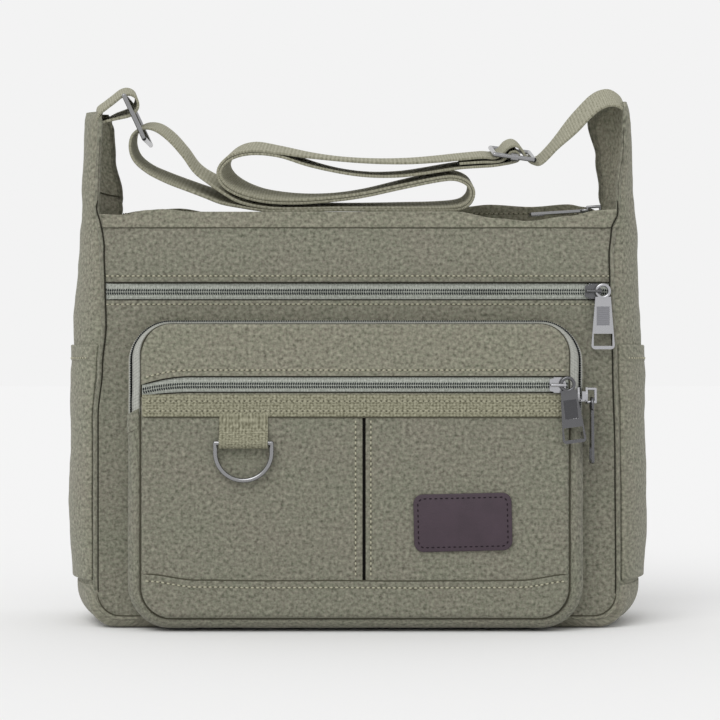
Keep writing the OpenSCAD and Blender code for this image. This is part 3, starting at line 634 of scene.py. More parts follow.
def gusset_skin(side, t, z):
    """Distance of the gusset from the bag's middle plane."""
    cup = through(RIGHT_CUP if side > 0 else LEFT_CUP, z) * t**2
    soft = 0.8 * slack(t * 90, z, 11 + side, 34) * math.sin(math.pi * t)
    return seam(side, z) - 0.4 + swell(side, z, t) + soft - cup


def gusset(side, name):
    def form(u, v):
        high = EAR_TOP[side] - 25.6
        z = 25.4 + v * high if v < 0.92 else 25.4 + high * (
            0.92 + 0.08 * math.sin((v - 0.92) / 0.08 * math.pi / 2)
        )
        front, back = gusset_edges(z, side)
        t = u if side > 0 else 1 - u
        return side * gusset_skin(side, t, z), front + t * (back - front), z

    return sheet(
        name + "_cloth", form, (98, 286), (34, 120), canvas_painted_light, (side, 0, 0), thickness=2.2,
        bevel=0.8, replaces=[name]
    )


gusset(-1, "gusset_left")
gusset(1, "gusset_right")


def facing_x(side, t, z):
    """The inner face of an ear, at share t of the way from front to back."""
    inner = seam(side, z) - 1.8 + 0.55 * (gusset_skin(side, t, z) - seam(side, z))
    return side * (inner - 0.45 * through(RIGHT_CUP if side > 0 else LEFT_CUP, z) * t**2)


def ear_facing(side, name):
    """The second layer of cloth inside an ear, which makes the ear thick."""
    def form(u, v):
        z = 232 + v * (EAR_TOP[side] - 1.5 - 232)
        front, back = gusset_edges(z, side)
        t = 1 - u if side > 0 else u
        return facing_x(side, t, z), front + 0.8 + t * (back - front - 1.6), z

    return sheet(name, form, (50, 80), (24, 40), canvas_painted_bright, (-side, 0, 0), thickness=1.4, bevel=0.5)


ear_facing(-1, "ear_facing_left")
ear_facing(1, "ear_facing_right")


def ear_fold(t):
    """A fold that runs across the inside of the left ear, just above the mouth."""
    z = 267 - 4 * t
    front, back = gusset_edges(z)
    return facing_x(-1, t, z) + 0.1, front + 2 + t * (back - front - 4), z


# The fold is drawn only by its shade: a thin dark cord of painted shade.
seam_line("ear_left_fold_shade", ear_fold, 40, 0.45)


# %% Side pockets
def pocket_side_skin(side, t, z):
    """Distance of a side pocket from the bag's middle plane: it stands off the gusset most below."""
    bulge = 1.2 + 1.8 * rise(28, 60, z) - 1.9 * rise(85, 110, z) - 1.3 * rise(150, 166, z)
    out = bulge * max(0.0, math.sin(math.pi * min(1, max(0, t)))) ** 0.7
    return gusset_skin(side, t, z) + 0.4 + out + 0.5 * slack(t * 90, z, 21 + side, 30) * rise(30, 60, z)


def side_spot(side, t, z, lift=0.0):
    front, back = gusset_edges(z)
    return side * (pocket_side_skin(side, t, z) + 1.5 + lift), front + t * (back - front), z


def side_pocket(side, name):
    def form(u, v):
        t = 0.004 + 0.992 * (u if side > 0 else 1 - u)
        return side_spot(side, t, 28.5 + v * 141.5)

    def hem(u, v):
        t = 0.004 + 0.992 * (u if side > 0 else 1 - u)
        return side_spot(side, t, 160.4 + v * 10.0, 0.4)

    sheet(
        name + "_cloth", form, (96, 142), (34, 60), canvas_painted_light, (side, 0, 0), thickness=1.5,
        bevel=0.5, replaces=[name]
    )
    sheet(name + "_hem", hem, (96, 10), (34, 6), canvas_painted_light, (side, 0, 0), thickness=2.4, bevel=0.8)
    rows = [
        dict(path=lambda w: side_spot(side, 0.06 + 0.88 * w, 162.2, 0.45), length=90, out=(side, 0, 0))
    ]
    stitches(name + "_stitches", rows)


side_pocket(-1, "side_pocket_left")
side_pocket(1, "side_pocket_right")
print("sides made")

# %% [markdown]
# ## Seams
# Where the front or back panel meets a side, both cloths turn inwards and leave a soft ridge.
# A thin bead of the same canvas stands for it and closes the corner.

# %% Seam ridges
def side_edge(side, back, z):
    """A point of the seam between a side and the front or back panel, and on up its ear."""
    front, rear = gusset_edges(z, side)
    low = back_y(z) - 1.5 if back else front_y(z) + 1.3
    high = rear if back else front
    share = rise(249, 262, z)
    x = seam(side, z) - 0.5 + share * (gusset_skin(side, 1.0 if back else 0.0, z) - seam(side, z) - 0.4)
    return side * x, low + share * (high - low), z


def seam_ridge(side, back):
    name = ("back" if back else "front") + ("_left" if side < 0 else "_right")
    bead(
        name + "_seam", lambda t: side_edge(side, back, 19 + t * (EAR_TOP[side] - 23)), 1.5, 130,
        canvas_main, side=(side, 0, 0)
    )

    def groove(t):
        x, y, z = side_edge(side, back, 20 + t * (EAR_TOP[side] - 34))
        over_hem = 1.9 * rise(239, 242, z) * (1 - rise(250, 256, z))
        return x - side * (1.5 - 1.2 * rise(239, 248, z)), y + (1 if back else -1) * (1.0 + over_hem), z

    seam_line(name + "_seam_groove", groove, 160, 0.5, deep_shade)


for side in (-1, 1):
    for back in (False, True):
        seam_ridge(side, back)


def foot_ridge(back):
    def path(t):
        a = 2 * t - 1
        side = -1 if a < 0 else 1
        half, corner, foot = seam(side, 20) - 0.5, PANEL_CORNER, PANEL_FOOT
        spans = [half - corner, corner * math.pi / 2]
        d = abs(a) * sum(spans)
        y = 98.2 if back else 1.2
        if d < spans[0]:
            return side * d, y, foot
        angle = (d - spans[0]) / corner
        return side * (spans[0] + corner * math.sin(angle)), y, foot + corner * (1 - math.cos(angle))

    name = ("back" if back else "front") + "_foot_seam"
    bead(name, path, 1.4, 150, canvas_shade_lifted, side=(0, 1 if back else -1, 0))

    def groove(t):
        x, y, z = path(t)
        return x * 0.993, y + (1.1 if back else -1.1), z + 1.2

    seam_line(name + "_groove", groove, 150, 0.4)


foot_ridge(False)
foot_ridge(True)
print("seams made")

# %% [markdown]
# ## The boxed pocket
# The big pocket stands out from the front like a shallow box. Its wall is swept round a rounded
# rectangle, and each strip of the wall is a strip of the sweep: tape, teeth, tape, canvas. Below
# the zip's ends the wall is plain canvas with piping at its foot.

# %% Outline of the pocket
POCKET_X, POCKET_LOW, POCKET_HIGH, POCKET_W, POCKET_R = -1.5, 1.0, 184.6, 272.0, 26.0
SPANS = [
    POCKET_W / 2 - POCKET_R, POCKET_R * math.pi / 2, POCKET_HIGH - POCKET_LOW - 2 * POCKET_R,
    POCKET_R * math.pi / 2, POCKET_W / 2 - POCKET_R
]
AROUND = 2 * sum(SPANS)


def rim(inset):
    """The pocket's outline drawn in by an inset: left, right, foot, top and corner radius.
    The top is drawn in least, because the face bulges up over it."""
    left, right = POCKET_X - POCKET_W / 2 + inset, POCKET_X + POCKET_W / 2 - inset * 1.05
    return left, right, POCKET_LOW + inset * 0.8, POCKET_HIGH - inset * 0.24, POCKET_R - inset * 0.9


def outline(d, inset):
    """The point at distance d round the outline, from the middle of the foot to the right first."""
    side = 1 if d <= AROUND / 2 else -1
    s = d if side > 0 else AROUND - d
    left, right, low, high, r = rim(inset)
    half = right - POCKET_X if side > 0 else POCKET_X - left
    for k, span in enumerate(SPANS):
        if s <= span or k == 4:
            break
        s -= span
    share = min(1.0, s / SPANS[k])
    turn = share * math.pi / 2
    if k == 0:
        x, z = (half - r) * share, low
    elif k == 1:
        x, z = half - r + r * math.sin(turn), low + r - r * math.cos(turn)
    elif k == 2:
        x, z = half, low + r + (high - low - 2 * r) * share
    elif k == 3:
        x, z = half - r + r * math.cos(turn), high - r + r * math.sin(turn)
    else:
        x, z = (half - r) * (1 - share), high
    return POCKET_X + side * x, z


def spline(points, steps):
    """A smooth line through points of any size, as many short steps."""
    line = []
    for i in range(len(points) - 1):
        a, b, c, d = (Vector(points[min(len(points) - 1, max(0, j))]) for j in (i - 1, i, i + 1, i + 2))
        for k in range(steps):
            t = k / steps
            line.append(
                0.5 * (
                    2 * b + (c - a) * t + (
                        2 * a - 5 * b + 4 * c - d
                    ) * t * t + (3 * b - a - 3 * c + d) * t**3
                )
            )
    return line + [Vector(points[-1])]


ZIP_RIGHT = SPANS[0] + SPANS[1] + 127 - POCKET_LOW - POCKET_R
ZIP_LEFT = AROUND - ZIP_RIGHT


def wall_strip(
    name, d0, d1, section, material, cells=(170, 8), thickness=0.8, bevel=0.25, wide=8, **more
):
    """A strip of the wall: section(v) gives its inset and its y across the strip."""
    def form(u, v):
        d = (d0 + u * (d1 - d0)) % AROUND
        inset, y = section(v)
        x, z = outline(d, inset + 0.25 * slack(d, y, 31, 20))
        return x, y, z

    def out(p):
        c = place(POCKET_X, -10, 92)
        return (p.x - c.x, 0, p.z - c.z)

    length = d1 - d0
    return sheet(name, form, (length, wide), cells, material, out, thickness, bevel, **more)


def section(*points):
    """A smooth section through points given as (inset, y)."""
    line = spline(points, 12)

    def at(v):
        f = v * (len(line) - 1)
        i = min(len(line) - 2, int(f))
        p = line[i].lerp(line[i + 1], f - i)
        return p.x, p.y

    return at


wall_strip(
    "wall_tape_front", ZIP_RIGHT - 2, ZIP_LEFT + 2,
    section((8.8, -16.6), (8.0, -17.9), (6.4, -17.4), (3.3, -13.2)), tape_painted_highlight,
    replaces=["pocket_zip_tape"]
)
wall_strip(
    "wall_tape_back", ZIP_RIGHT - 2, ZIP_LEFT + 2, section((1.9, -11.2), (0.9, -9.5), (0.7, -5.4)),
    tape_painted_highlight
)
wall_strip(
    "wall_canvas_behind_zip", ZIP_RIGHT - 1, ZIP_LEFT + 1,
    section((0.1, -6.4), (-0.1, -4.0), (0.8, -0.4)), canvas_shade_lifted, thickness=1.6, bevel=0.6,
    replaces=["pocket_boxing"]
)
wall_strip(
    "wall_canvas_low", ZIP_LEFT - 1, AROUND + ZIP_RIGHT + 1,
    section((8.8, -16.4), (7.8, -17.9), (5.4, -17.8), (2.6, -15.0), (0.6, -10.0), (1.2, -4.2)),
    canvas_main, cells=(190, 20), thickness=1.4, bevel=0.5, wide=19
)


def folded_end(name, d):
    """The folded scrap of canvas that covers each end of the pocket's zip."""
    wall_strip(
        name, d - 5.5, d + 5.5,
        section((8.4, -17.4), (7.0, -18.6), (3.2, -16.8), (0.2, -11.0), (0.4, -5.0)), canvas_main,
        cells=(12, 18), thickness=1.2, bevel=0.5, wide=19
    )


folded_end("zip_end_right", ZIP_RIGHT - 4)
folded_end("zip_end_left", ZIP_LEFT + 4)


PIPE_RUN = AROUND - ZIP_LEFT + ZIP_RIGHT - 8


def piping_path(t):
    x, z = outline((ZIP_LEFT + 4 + t * PIPE_RUN) % AROUND, 2.3)
    return x, -2.6, z


seam_line(
    "pocket_rim_groove_low",
    lambda t: (
        (p := outline((ZIP_LEFT + t * (AROUND - ZIP_LEFT + ZIP_RIGHT)) % AROUND, 8.7))[0], -17.7, p[1]
    ),
    240, 0.5
)
seam_line(
    "pocket_rim_groove_high",
    lambda t: ((p := outline(ZIP_RIGHT + t * (ZIP_LEFT - ZIP_RIGHT), 9.0))[0], -17.5, p[1]), 240, 0.4
)
bead(
    "pocket_piping_cloth", piping_path, 2.2, 260, canvas_shade_lifted, side=(0, -1, 0),
    replaces=["pocket_piping"]
)
print("wall made,", round(AROUND), "mm round")

# %% [markdown]
# ## The pocket's face
# The face is cut through by its own zip. Near its left end the zip dips, because the tape is
# caught in the seam there. The face rolls over at its rim and bulges a little in the middle.

# %% Face
FACE_Y, FACE_IN = -20.0, 9.0
FACE_SPLIT_LOW, FACE_SPLIT_HIGH = 141.4, 151.6


def rim_ends(z, inset):
    """Left and right ends of the face at height z."""
    left, right, low, high, r = rim(inset)
    away = max(low + r - z, z - high + r, 0.0)
    draw = r - math.sqrt(max(0.0, r * r - away * away))
    return left + draw, right - draw


def face_skin(x, z, lift=0.0):
    """y of the face at a place, with its rolled rim."""
    left, right, low, high, r = rim(FACE_IN)
    near, far = rim_ends(min(high - 0.1, max(low + 0.1, z)), FACE_IN)
    edge = max(0.0, min(x - near, far - x, high - z, z - low))
    roll = 2.4 * (1 - math.sqrt(max(0.0, 1 - (1 - edge / 3.5) ** 2))) if edge < 3.5 else 0.0
    puff = min(1.0, edge / 30)
    return FACE_Y + roll - 0.25 * puff - 0.45 * slack(x, z, 1.7, 38) * puff - lift


def dip(x, depth):
    """How far the face's zip drops towards its left end."""
    return depth * max(0.0, (-98 - x) / 30.2) ** 2


def face_x(u, z, inset=FACE_IN):
    near, far = rim_ends(z, inset)
    return near + u * (far - near)


FACE_FOOT, FACE_TOP = rim(FACE_IN)[2] + 0.15, rim(FACE_IN)[3] - 0.15


def face_top_form(u, v):
    z = FACE_SPLIT_HIGH + (FACE_TOP - FACE_SPLIT_HIGH) * math.sin(v * math.pi / 2)
    x = face_x(u, z)
    return x, face_skin(x, z), z - dip(x, 5.2) * (1 - v) ** 2


def face_low_form(u, v):
    if v < 0.15:
        share = (1 - math.cos(v / 0.15 * math.pi / 2)) * 0.14
    else:
        share = 0.14 + 0.86 * (v - 0.15) / 0.85
    z = FACE_FOOT + (FACE_SPLIT_LOW - FACE_FOOT) * share
    x = face_x(u, z)
    return x, face_skin(x, z), z - dip(x, 2.4) * v**4


sheet(
    "face_top_cloth", face_top_form, (260, 26), (110, 22), canvas_painted_light, FORWARD, thickness=1.8,
    bevel=0.6, replaces=["pocket_face_top"]
)
sheet(
    "face_low_cloth", face_low_form, (260, 134), (110, 60), canvas_main, FORWARD, thickness=1.8,
    bevel=0.6, replaces=["pocket_face_low"]
)


# %% Pieces sewn on the face
FOOT_BAND = 30.4


def foot_lift(x):
    """The foot band's seam climbs a little where it meets the rim."""
    return 4.0 * rise(95, 126, abs(x)) + 0.4 * slack(x, 0, 71, 60)


def on_face(name, x0, x1, z0, z1, lift, cells, material, climbs=False, **more):
    """A piece sewn flat on the face. x0 or x1 is None where it reaches the rim.
    One that climbs follows the foot band's seam up to the rim."""
    def form(u, v):
        z = z0 + v * (z1 - z0)
        left = x0 if x0 is not None else face_x(0, z, FACE_IN + 0.7)
        right = x1 if x1 is not None else face_x(1, z, FACE_IN + 0.7)
        x = left + u * (right - left)
        up = foot_lift(x) * rise(20, 30, z) if climbs else 0.0
        return x, face_skin(x, z, lift), z + up

    wide = (x1 if x1 is not None else 129) - (x0 if x0 is not None else -129)
    return sheet(name, form, (wide, z1 - z0), cells, material, FORWARD, **more)


on_face(
    "webbing_band_cloth", None, None, 127.4, 140.6, 1.0, (120, 8), band_webbing, thickness=1.3,
    bevel=0.5, replaces=["webbing_band"]
)
on_face(
    "slip_left_cloth", None, 2.7, FOOT_BAND - 3, 128.6, 0.55, (70, 50), canvas_main, thickness=1.2,
    bevel=0.5, replaces=["slip_pocket_left"]
)
on_face(
    "slip_right_cloth", 4.5, None, FOOT_BAND - 3, 128.6, 0.55, (60, 50), canvas_main, thickness=1.2,
    bevel=0.5, replaces=["slip_pocket_right"]
)
on_face(
    "foot_band_cloth", None, None, FACE_FOOT + 0.5, FOOT_BAND, 1.0, (120, 16), canvas_main, True,
    thickness=1.3, bevel=0.6, replaces=["foot_band"]
)
on_face("slip_slot_shade", 2.6, 4.6, FOOT_BAND, 128, 0.12, (2, 40), slot_shade, thickness=0.3, bevel=0)


# %% Stitches and seams on the face
def along_face(z, lift, x0=-126.0, x1=122.5):
    """A line across the face at a height that may depend on x."""
    def path(t):
        x = x0 + t * (x1 - x0)
        h = z(x) if callable(z) else z
        return x, face_skin(x, h, lift), h

    return path


def up_face(x, z0, z1, lift):
    return lambda t: (x, face_skin(x, z0 + t * (z1 - z0), lift), z0 + t * (z1 - z0))


rows = [
    dict(path=along_face(z, 1.05), length=249, out=FORWARD, wide=0.9, high=0.35) for z in (130.9, 136.7)
]
rows += [dict(path=up_face(x, 33, 126, 0.65), length=93, out=FORWARD) for x in (-1.4, 7.6)]
rows.append(dict(path=along_face(lambda x: 26.6 + foot_lift(x), 1.1), length=249, out=FORWARD))
rows.append(dict(path=along_face(lambda x: 155.0 - dip(x, 5.2), 0.1), length=249, out=FORWARD))
seam_line(
    "foot_band_groove", along_face(lambda x: FOOT_BAND + 0.3 + foot_lift(x), 0.7, -127, 124), 100, 0.42
)
seam_line("webbing_band_groove", along_face(127.1, 0.7, -127.5, 124.5), 100, 0.42)
seam_line(
    "face_zip_upper_groove", along_face(lambda x: 151.3 - dip(x, 5.2), -0.7, -127.8, 124.5), 100, 0.6,
    deep_shade
)
seam_line(
    "face_zip_lower_groove", along_face(lambda x: 141.7 - dip(x, 2.4), -0.7, -127.8, 124.5), 100, 0.55,
    deep_shade
)
stitches("pocket_face_stitches", rows)
print("face made")

# %% [markdown]
# ## Zips
# A zip is two woven tapes with a row of teeth on each. The tapes are ribbed sheets. The teeth
# are many copies of one tiny bead, leaning one way on the upper tape and the other way on the
# lower, which is how a coil looks from a short distance.

# %% Zips
def coil(name, path, length, out, across, body="bag", sides=(-1, 1), replaces=(), gap=0.95, pitch=1.35):
    bm = bmesh.new()
    count = round(length / pitch)
    for k in range(count):
        for s in sides:
            t = (k + 0.5) / count
            here, ahead = place(*path(t)), place(*path(min(1.0, t + 0.002)))
            run = (ahead - here).normalized()
            up = Vector(out(t)) if callable(out) else Vector(out)
            up = (up - run * up.dot(run)).normalized()
            side = up.cross(run) * (1 if across > 0 else -1)
            turn = Matrix((side, run, up)).transposed().to_4x4() @ Matrix.Rotation(0.3 * s, 4, "Z")
            spot = Matrix.Translation(here + side * s * gap / 1000)
            add_bead(bm, spot @ turn @ Matrix.Diagonal((0.00098, 0.00054, 0.0006, 1)))
    return finish_piece(bm, name, teeth, body=body, replaces=replaces)


def front_tape(name, x0, x1, z0, z1, skin, drop=0.0, replaces=()):
    """Both tapes of a zip, with a low ridge beside the teeth."""
    def form(u, v):
        x, z = x0 + u * (x1 - x0), z0 + v * (z1 - z0)
        return x, skin(x, z) - 0.7 * math.sin(math.pi * v) ** 2, z - dip(x, drop)

    return sheet(
        name, form, (x1 - x0, z1 - z0), (120, 12), tape_cloth, FORWARD, thickness=0.8, bevel=0.2,
        replaces=replaces
    )


def front_tape_skin(x, z):
    return 1.5 + 0.2 * slack(x, z, 2, 30)


def face_tape_skin(x, z):
    return face_skin(x, z) + 1.4


front_tape("front_tape_cloth", -152.6, 152.6, 194, 210, front_tape_skin, replaces=["front_zip_tape"])
coil(
    "front_zip_teeth", lambda t: (-152 + 304 * t, 0.9, 201.9), 304, (0, -1, 0), 1,
    replaces=["front_zip_chain"]
)
front_tape(
    "face_tape_cloth", -127.8, 124.6, 138.5, 154, face_tape_skin, 3.8, replaces=["face_zip_tape"]
)
coil(
    "face_zip_teeth",
    lambda t: ((x := -127.4 + 251.6 * t), face_skin(x, 146) + 0.8, 146.0 - dip(x, 3.4)), 252,
    (0, -1, 0), 1, replaces=["face_zip_chain"]
)


def wall_coil_path(t):
    x, z = outline(ZIP_RIGHT + t * (ZIP_LEFT - ZIP_RIGHT), 2.5)
    return x, -12.2, z


def wall_out(t):
    d = ZIP_RIGHT + t * (ZIP_LEFT - ZIP_RIGHT)
    a, b = outline(d, 0), outline(d, 2)
    return (a[0] - b[0], 0, a[1] - b[1])


coil("wall_zip_teeth", wall_coil_path, ZIP_LEFT - ZIP_RIGHT, wall_out, 1, replaces=["pocket_zip_chain"])


# %% Stitches and seams of the front
def across_front(z, lift, x0=-152.0, x1=152.0):
    """A level line across the front panel."""
    def path(t):
        x = x0 + t * (x1 - x0)
        return x, front_skin(x, z) - lift, z

    return path


rows = [dict(path=across_front(211.4, 0.15), length=304, out=FORWARD)]
rows.append(dict(path=across_front(194.4, 0.1), length=304, out=FORWARD, high=0.4, wide=1.0))
rows.append(
    dict(path=lambda t: (-150 + t * 300, back_y(250) - 2.9, 252.6), length=300, out=FORWARD, high=0.4)
)
rows.append(
    dict(
        path=lambda t: (-150 + t * 300, back_y(244.5) + 1.0, 244.5), length=300, out=BACKWARD, high=0.3
    )
)
stitches("front_stitches", rows)
seam_line("front_zip_upper_groove", across_front(207.4, -0.5, -153.2, 152), 100, 0.6, deep_shade)
seam_line("front_zip_lower_groove", across_front(197.0, -0.5, -153.2, 152), 100, 0.6, deep_shade)
seam_line(
    "hem_groove",
    lambda t: ((x := -155 + t * 309), front_skin(x, 240.6) - 0.05, 240.6 + 0.6 * slack(x, 0, 91, 70)),
    140, 0.3
)
seam_line("back_hem_groove", lambda t: (-155 + 310 * t, back_y(240.8), 240.8), 100, 0.5)

# %% [markdown]
# ## The top zip
# The mouth is closed by two flaps that carry the tapes of the top zip. Each flap rides on
# its own moving body, so it can fold into the bag when the zip is undone.

# %% Top flaps
SLOPE = math.tan(math.radians(4))
FIXED_ENDS = {"right": (136.3, 151.4), "left": (-151.4, -103.3)}


def mouth_skin(x, y, lift=0.0):
    """Height of the closed mouth."""
    sag = 1.2 * slack(x, y, 40, 45)
    return 236.5 + x * SLOPE + lift - 0.6 + 0.5 * sag


def mouth_strip(name, x0, x1, y0, y1, lift, material, body="bag", replaces=(), thickness=0.8):
    def form(u, v):
        x, y = x0 + u * (x1 - x0), y0 + v * (y1 - y0)
        return x, MOUTH + y, mouth_skin(x, y, lift)

    return sheet(
        name, form, (x1 - x0, abs(y1 - y0)), (100, 8), material, (0, 0, 1), thickness, 0.2, body=body,
        replaces=replaces
    )


def mouth_line(x0, x1):
    """The line along the middle of the mouth on which the teeth lie."""
    def path(t):
        x = x0 + (x1 - x0) * t
        return x, MOUTH, mouth_skin(x, 0, 1.0)

    return path


FLAP_LEFT, FLAP_RIGHT = -103, 136
for s, side in ((-1, "front"), (1, "back")):
    flap = "top_flap_" + side
    mouth_strip(
        "top_facing_" + side + "_cloth", FLAP_LEFT, FLAP_RIGHT, s * 10.2, s * 23.4, 0.0, canvas_shade_lifted,
        flap, ["top_facing_" + side], 1.0
    )
    mouth_strip(
        "top_tape_" + side + "_cloth", FLAP_LEFT, FLAP_RIGHT, s * 0.9, s * 12.2, 0.4, tape_cloth, flap,
        ["top_tape_" + side]
    )
    coil(
        "top_teeth_" + side, mouth_line(FLAP_LEFT, FLAP_RIGHT), FLAP_RIGHT - FLAP_LEFT, (0, 0, 1), -1,
        flap, (s,), ["top_chain_" + side]
    )
    for end, (x0, x1) in FIXED_ENDS.items():
        names = ["top_end_tape"] if (s, end) == (-1, "right") else []
        mouth_strip(
            "top_end_tape_" + side + "_" + end, x0, x1, s * 0.9, s * 23.4, 0.4, tape_cloth, "bag", names
        )
for end, (x0, x1) in FIXED_ENDS.items():
    names = ["top_end_chain"] if end == "right" else []
    coil("top_end_teeth_" + end, mouth_line(x0, x1), x1 - x0, (0, 0, 1), -1, "bag", (-1, 1), names)


# %% [markdown]
# ## The lining
# The lining is a bag in the bag: one ring of cloth wound round its sides and closed at the foot.
# A ring with rounded corners needs no seams, so it can't gape.

# %% Lining
def lining_ring(u, v):
    """The lining bag, wound round its sides."""
    z = 10 + v * 214
    a = 2 * math.pi * u
    half, front, back = 147.5, 8.0, back_y(z) - 4.5
    n = 0.22
    cx, cy = abs(math.cos(a)) ** n * math.copysign(
        1, math.cos(a)
    ), abs(math.sin(a)) ** n * math.copysign(1, math.sin(a))
    x, y = half * cx, (front + back) / 2 + (back - front) / 2 * cy
    return x, y + 0.6 * slack(x, z, 50, 30), z


inside = grid_of(lining_ring, (490, 214), (96, 30))
bmesh.ops.remove_doubles(inside, verts=inside.verts, dist=1e-6)
bottom = [e for e in inside.edges if e.is_boundary and max(v.co.z for v in e.verts) < 0.02]
bmesh.ops.holes_fill(inside, edges=bottom, sides=0)
bmesh.ops.recalc_face_normals(inside, faces=inside.faces)
finish_piece(inside, "lining_cloth_bag", lining_cloth, thickness=0.8, replaces=["lining"])
print("mouth and lining made")

# %% [markdown]
# ## The ring tab and the leather patch
# The tab is a ribbon of webbing folded over the straight bar of the D ring. The patch is a
# plain piece of leather with a row of stitches near its rim.

# %% Ribbons
def ribbon(name, line, across, width, thickness, material, cells=10, roll=None, **more):
    """Webbing along a line of points, with its width along the direction across."""
    rows = len(line) - 1
    length = sum((b - a).length for a, b in zip(line, line[1:]))
    across = Vector(across)

    def form(u, v):
        i = min(rows, round(v * rows))
        here = line[i] + across * (u - 0.5) * width
        return here if roll is None else roll(here)

    bm = grid_of(form, (width, length), (cells, rows))
    bmesh.ops.recalc_face_normals(bm, faces=bm.faces)
    piece = finish_piece(bm, name, material, thickness=thickness, bevel=0.3, offset=0.0, **more)
    return piece, length


TAB_X = -67.5
TAB_FOLD = [
    (-20.7, 130), (-21.6, 121), (-23.4, 116.4), (-26.2, 113.6), (-26.5, 111.2), (-24.6, 109.4),
    (-22.4, 110), (-21.4, 113), (-21.6, 117), (-21.3, 122), (-20.6, 129)
]
tab_line = spline([(TAB_X, y, z) for y, z in TAB_FOLD], 5)
ribbon(
    "d_ring_tab_cloth", tab_line, (1, 0, 0), 28.8, 1.1, band_webbing, cells=18, replaces=["d_ring_tab"]
)


PATCH_W, PATCH_H, PATCH_THICK = 58, 34, 1.6


def patch():
    """The leather patch, and the turn that places a point of it on the pocket's face."""
    bm = bmesh.new()
    bmesh.ops.create_cube(bm, size=1, matrix=Matrix.Diagonal((PATCH_W, PATCH_H, PATCH_THICK, 1)))
    upright = [e for e in bm.edges if abs(e.verts[0].co.z - e.verts[1].co.z) > 1]
    bmesh.ops.bevel(bm, geom=upright, offset=5.5, affect="EDGES", segments=8, profile=0.5, material=-1)
    front = [e for e in bm.edges if all(v.co.z > 0.79 for v in e.verts)]
    bmesh.ops.bevel(bm, geom=front, offset=0.45, affect="EDGES", segments=3, profile=0.5, material=-1)
    turn = Matrix.Translation((61.9, -21.6, 65.2)) @ Matrix.Rotation(
        math.radians(-1.3), 4, "Y"
    ) @ Matrix.Rotation(math.radians(90), 4, "X")
    for vert in bm.verts:
        vert.co = place(*(turn @ vert.co))
    bmesh.ops.recalc_face_normals(bm, faces=bm.faces)
    finish_piece(bm, "leather_patch_piece", leather, replaces=["leather_patch"])
    return turn


patch_turn = patch()


def patch_edge(t):
    """The line of stitches just inside the patch's rim."""
    w, h, r = PATCH_W - 5.2, PATCH_H - 5.2, 3.6
    spans = [w - 2 * r, r * math.pi / 2, h - 2 * r, r * math.pi / 2] * 2
    d = (t % 1.0) * sum(spans)
    x, y, a = -(w / 2 - r), -h / 2, 0.0
    for k, span in enumerate(spans):
        part = min(d, span)
        if k % 2 == 0:
            x, y = x + math.cos(a) * part, y + math.sin(a) * part
        else:
            turn = part / r
            x += r * (math.sin(a + turn) - math.sin(a))
            y += r * (math.cos(a) - math.cos(a + turn))
            a += turn
        d -= part
        if d <= 0:
            break
    return tuple(patch_turn @ Vector((x, y, 0.8)))


stitches(
    "leather_patch_stitches",
    [dict(path=patch_edge, length=157, out=FORWARD, pitch=3.2, long=2.0, wide=0.9, high=0.3)],
    dark_thread, False
)
print("patch made")

# %% [markdown]
# ## The shoulder strap
# The strap is one ribbon. From the right ear it threads the adjuster, runs to the left, and is
# folded to and fro before it loops through the ring and comes back. The folded strap leans
# forward a little, so the ribbon is sheared: its front edge lies lower than its back edge.

# %% Strap
STRAP_WIDE, STRAP_THICK = 38, 1.5
GLIDE_X, GLIDE_Z, GLIDE_TILT = 94.7, 288, math.radians(7.5)


def on_glide(a, b):
    """A point at a along and b above the adjuster's bar, which is tilted."""
    c, s = math.cos(GLIDE_TILT), math.sin(GLIDE_TILT)
    return (GLIDE_X + a * c + b * s, GLIDE_Z - a * s + b * c)


PAIR = [
    (-48, 289.2), (-64, 291.2), (-76, 288), (-82.5, 280.5), (-80.5, 273), (-72.5, 267), (-60, 262.6),
    (-46, 260.6), (-30, 260.2), (-12, 261.4), (5, 264), (25, 268.6), (45, 273), (58, 274.6),
    (66.5, 271.5), (69.5, 266), (67.5, 260), (61, 256.4), (47, 255.2), (30, 255), (10, 254.9),
    (-12, 254.9), (-35, 255.1), (-54, 256.2), (-70, 259.5), (-83, 264.5)
]


def strand(side):
    """One of the two passes that lie side by side along PAIR, closer together towards its end."""
    line = []
    for i, (x, z) in enumerate(PAIR):
        gap = (0.9, 1.3, 3.4)[max(0, i - len(PAIR) + 3)]
        a, b = PAIR[max(0, i - 1)], PAIR[min(len(PAIR) - 1, i + 1)]
        run = Vector((b[0] - a[0], b[1] - a[1])).normalized()
        line.append((x + side * gap * run.y, z - side * gap * run.x))
    return line


FREE = [
    (161.5, 301), (162.8, 307), (163.8, 312.5), (163, 317.8), (155.5, 322.3), (145.5, 319),
    (133, 306.4), (122.5, 295)
]
THREADED = [
    on_glide(17.5, -1.6), on_glide(12.1, -2.6), on_glide(7.6, 0), on_glide(4.2, 4.6), on_glide(0, 6.6),
    on_glide(-4.2, 4.6), on_glide(-7.6, 0), on_glide(-12.1, -2.7)
]
UPPER = [(76, 287.2), (62, 286), (48, 284.6), (30, 283.4), (10, 283.4), (-10, 284.6), (-30, 287)]
LOOP = [
    (-97.5, 277.5), (-106, 288.5), (-114.5, 298), (-123, 304), (-131, 304.8), (-136.8, 300.8),
    (-138.4, 293), (-135.6, 285), (-128, 278.5), (-117.5, 273.4), (-105, 268.6)
]
LOWER = [
    (-32, 282.6), (-18, 278.8), (-4, 276.2), (10, 275), (26, 275.4), (40, 277.2), (52, 279.2),
    (63, 280.8), (74, 281.6)
]
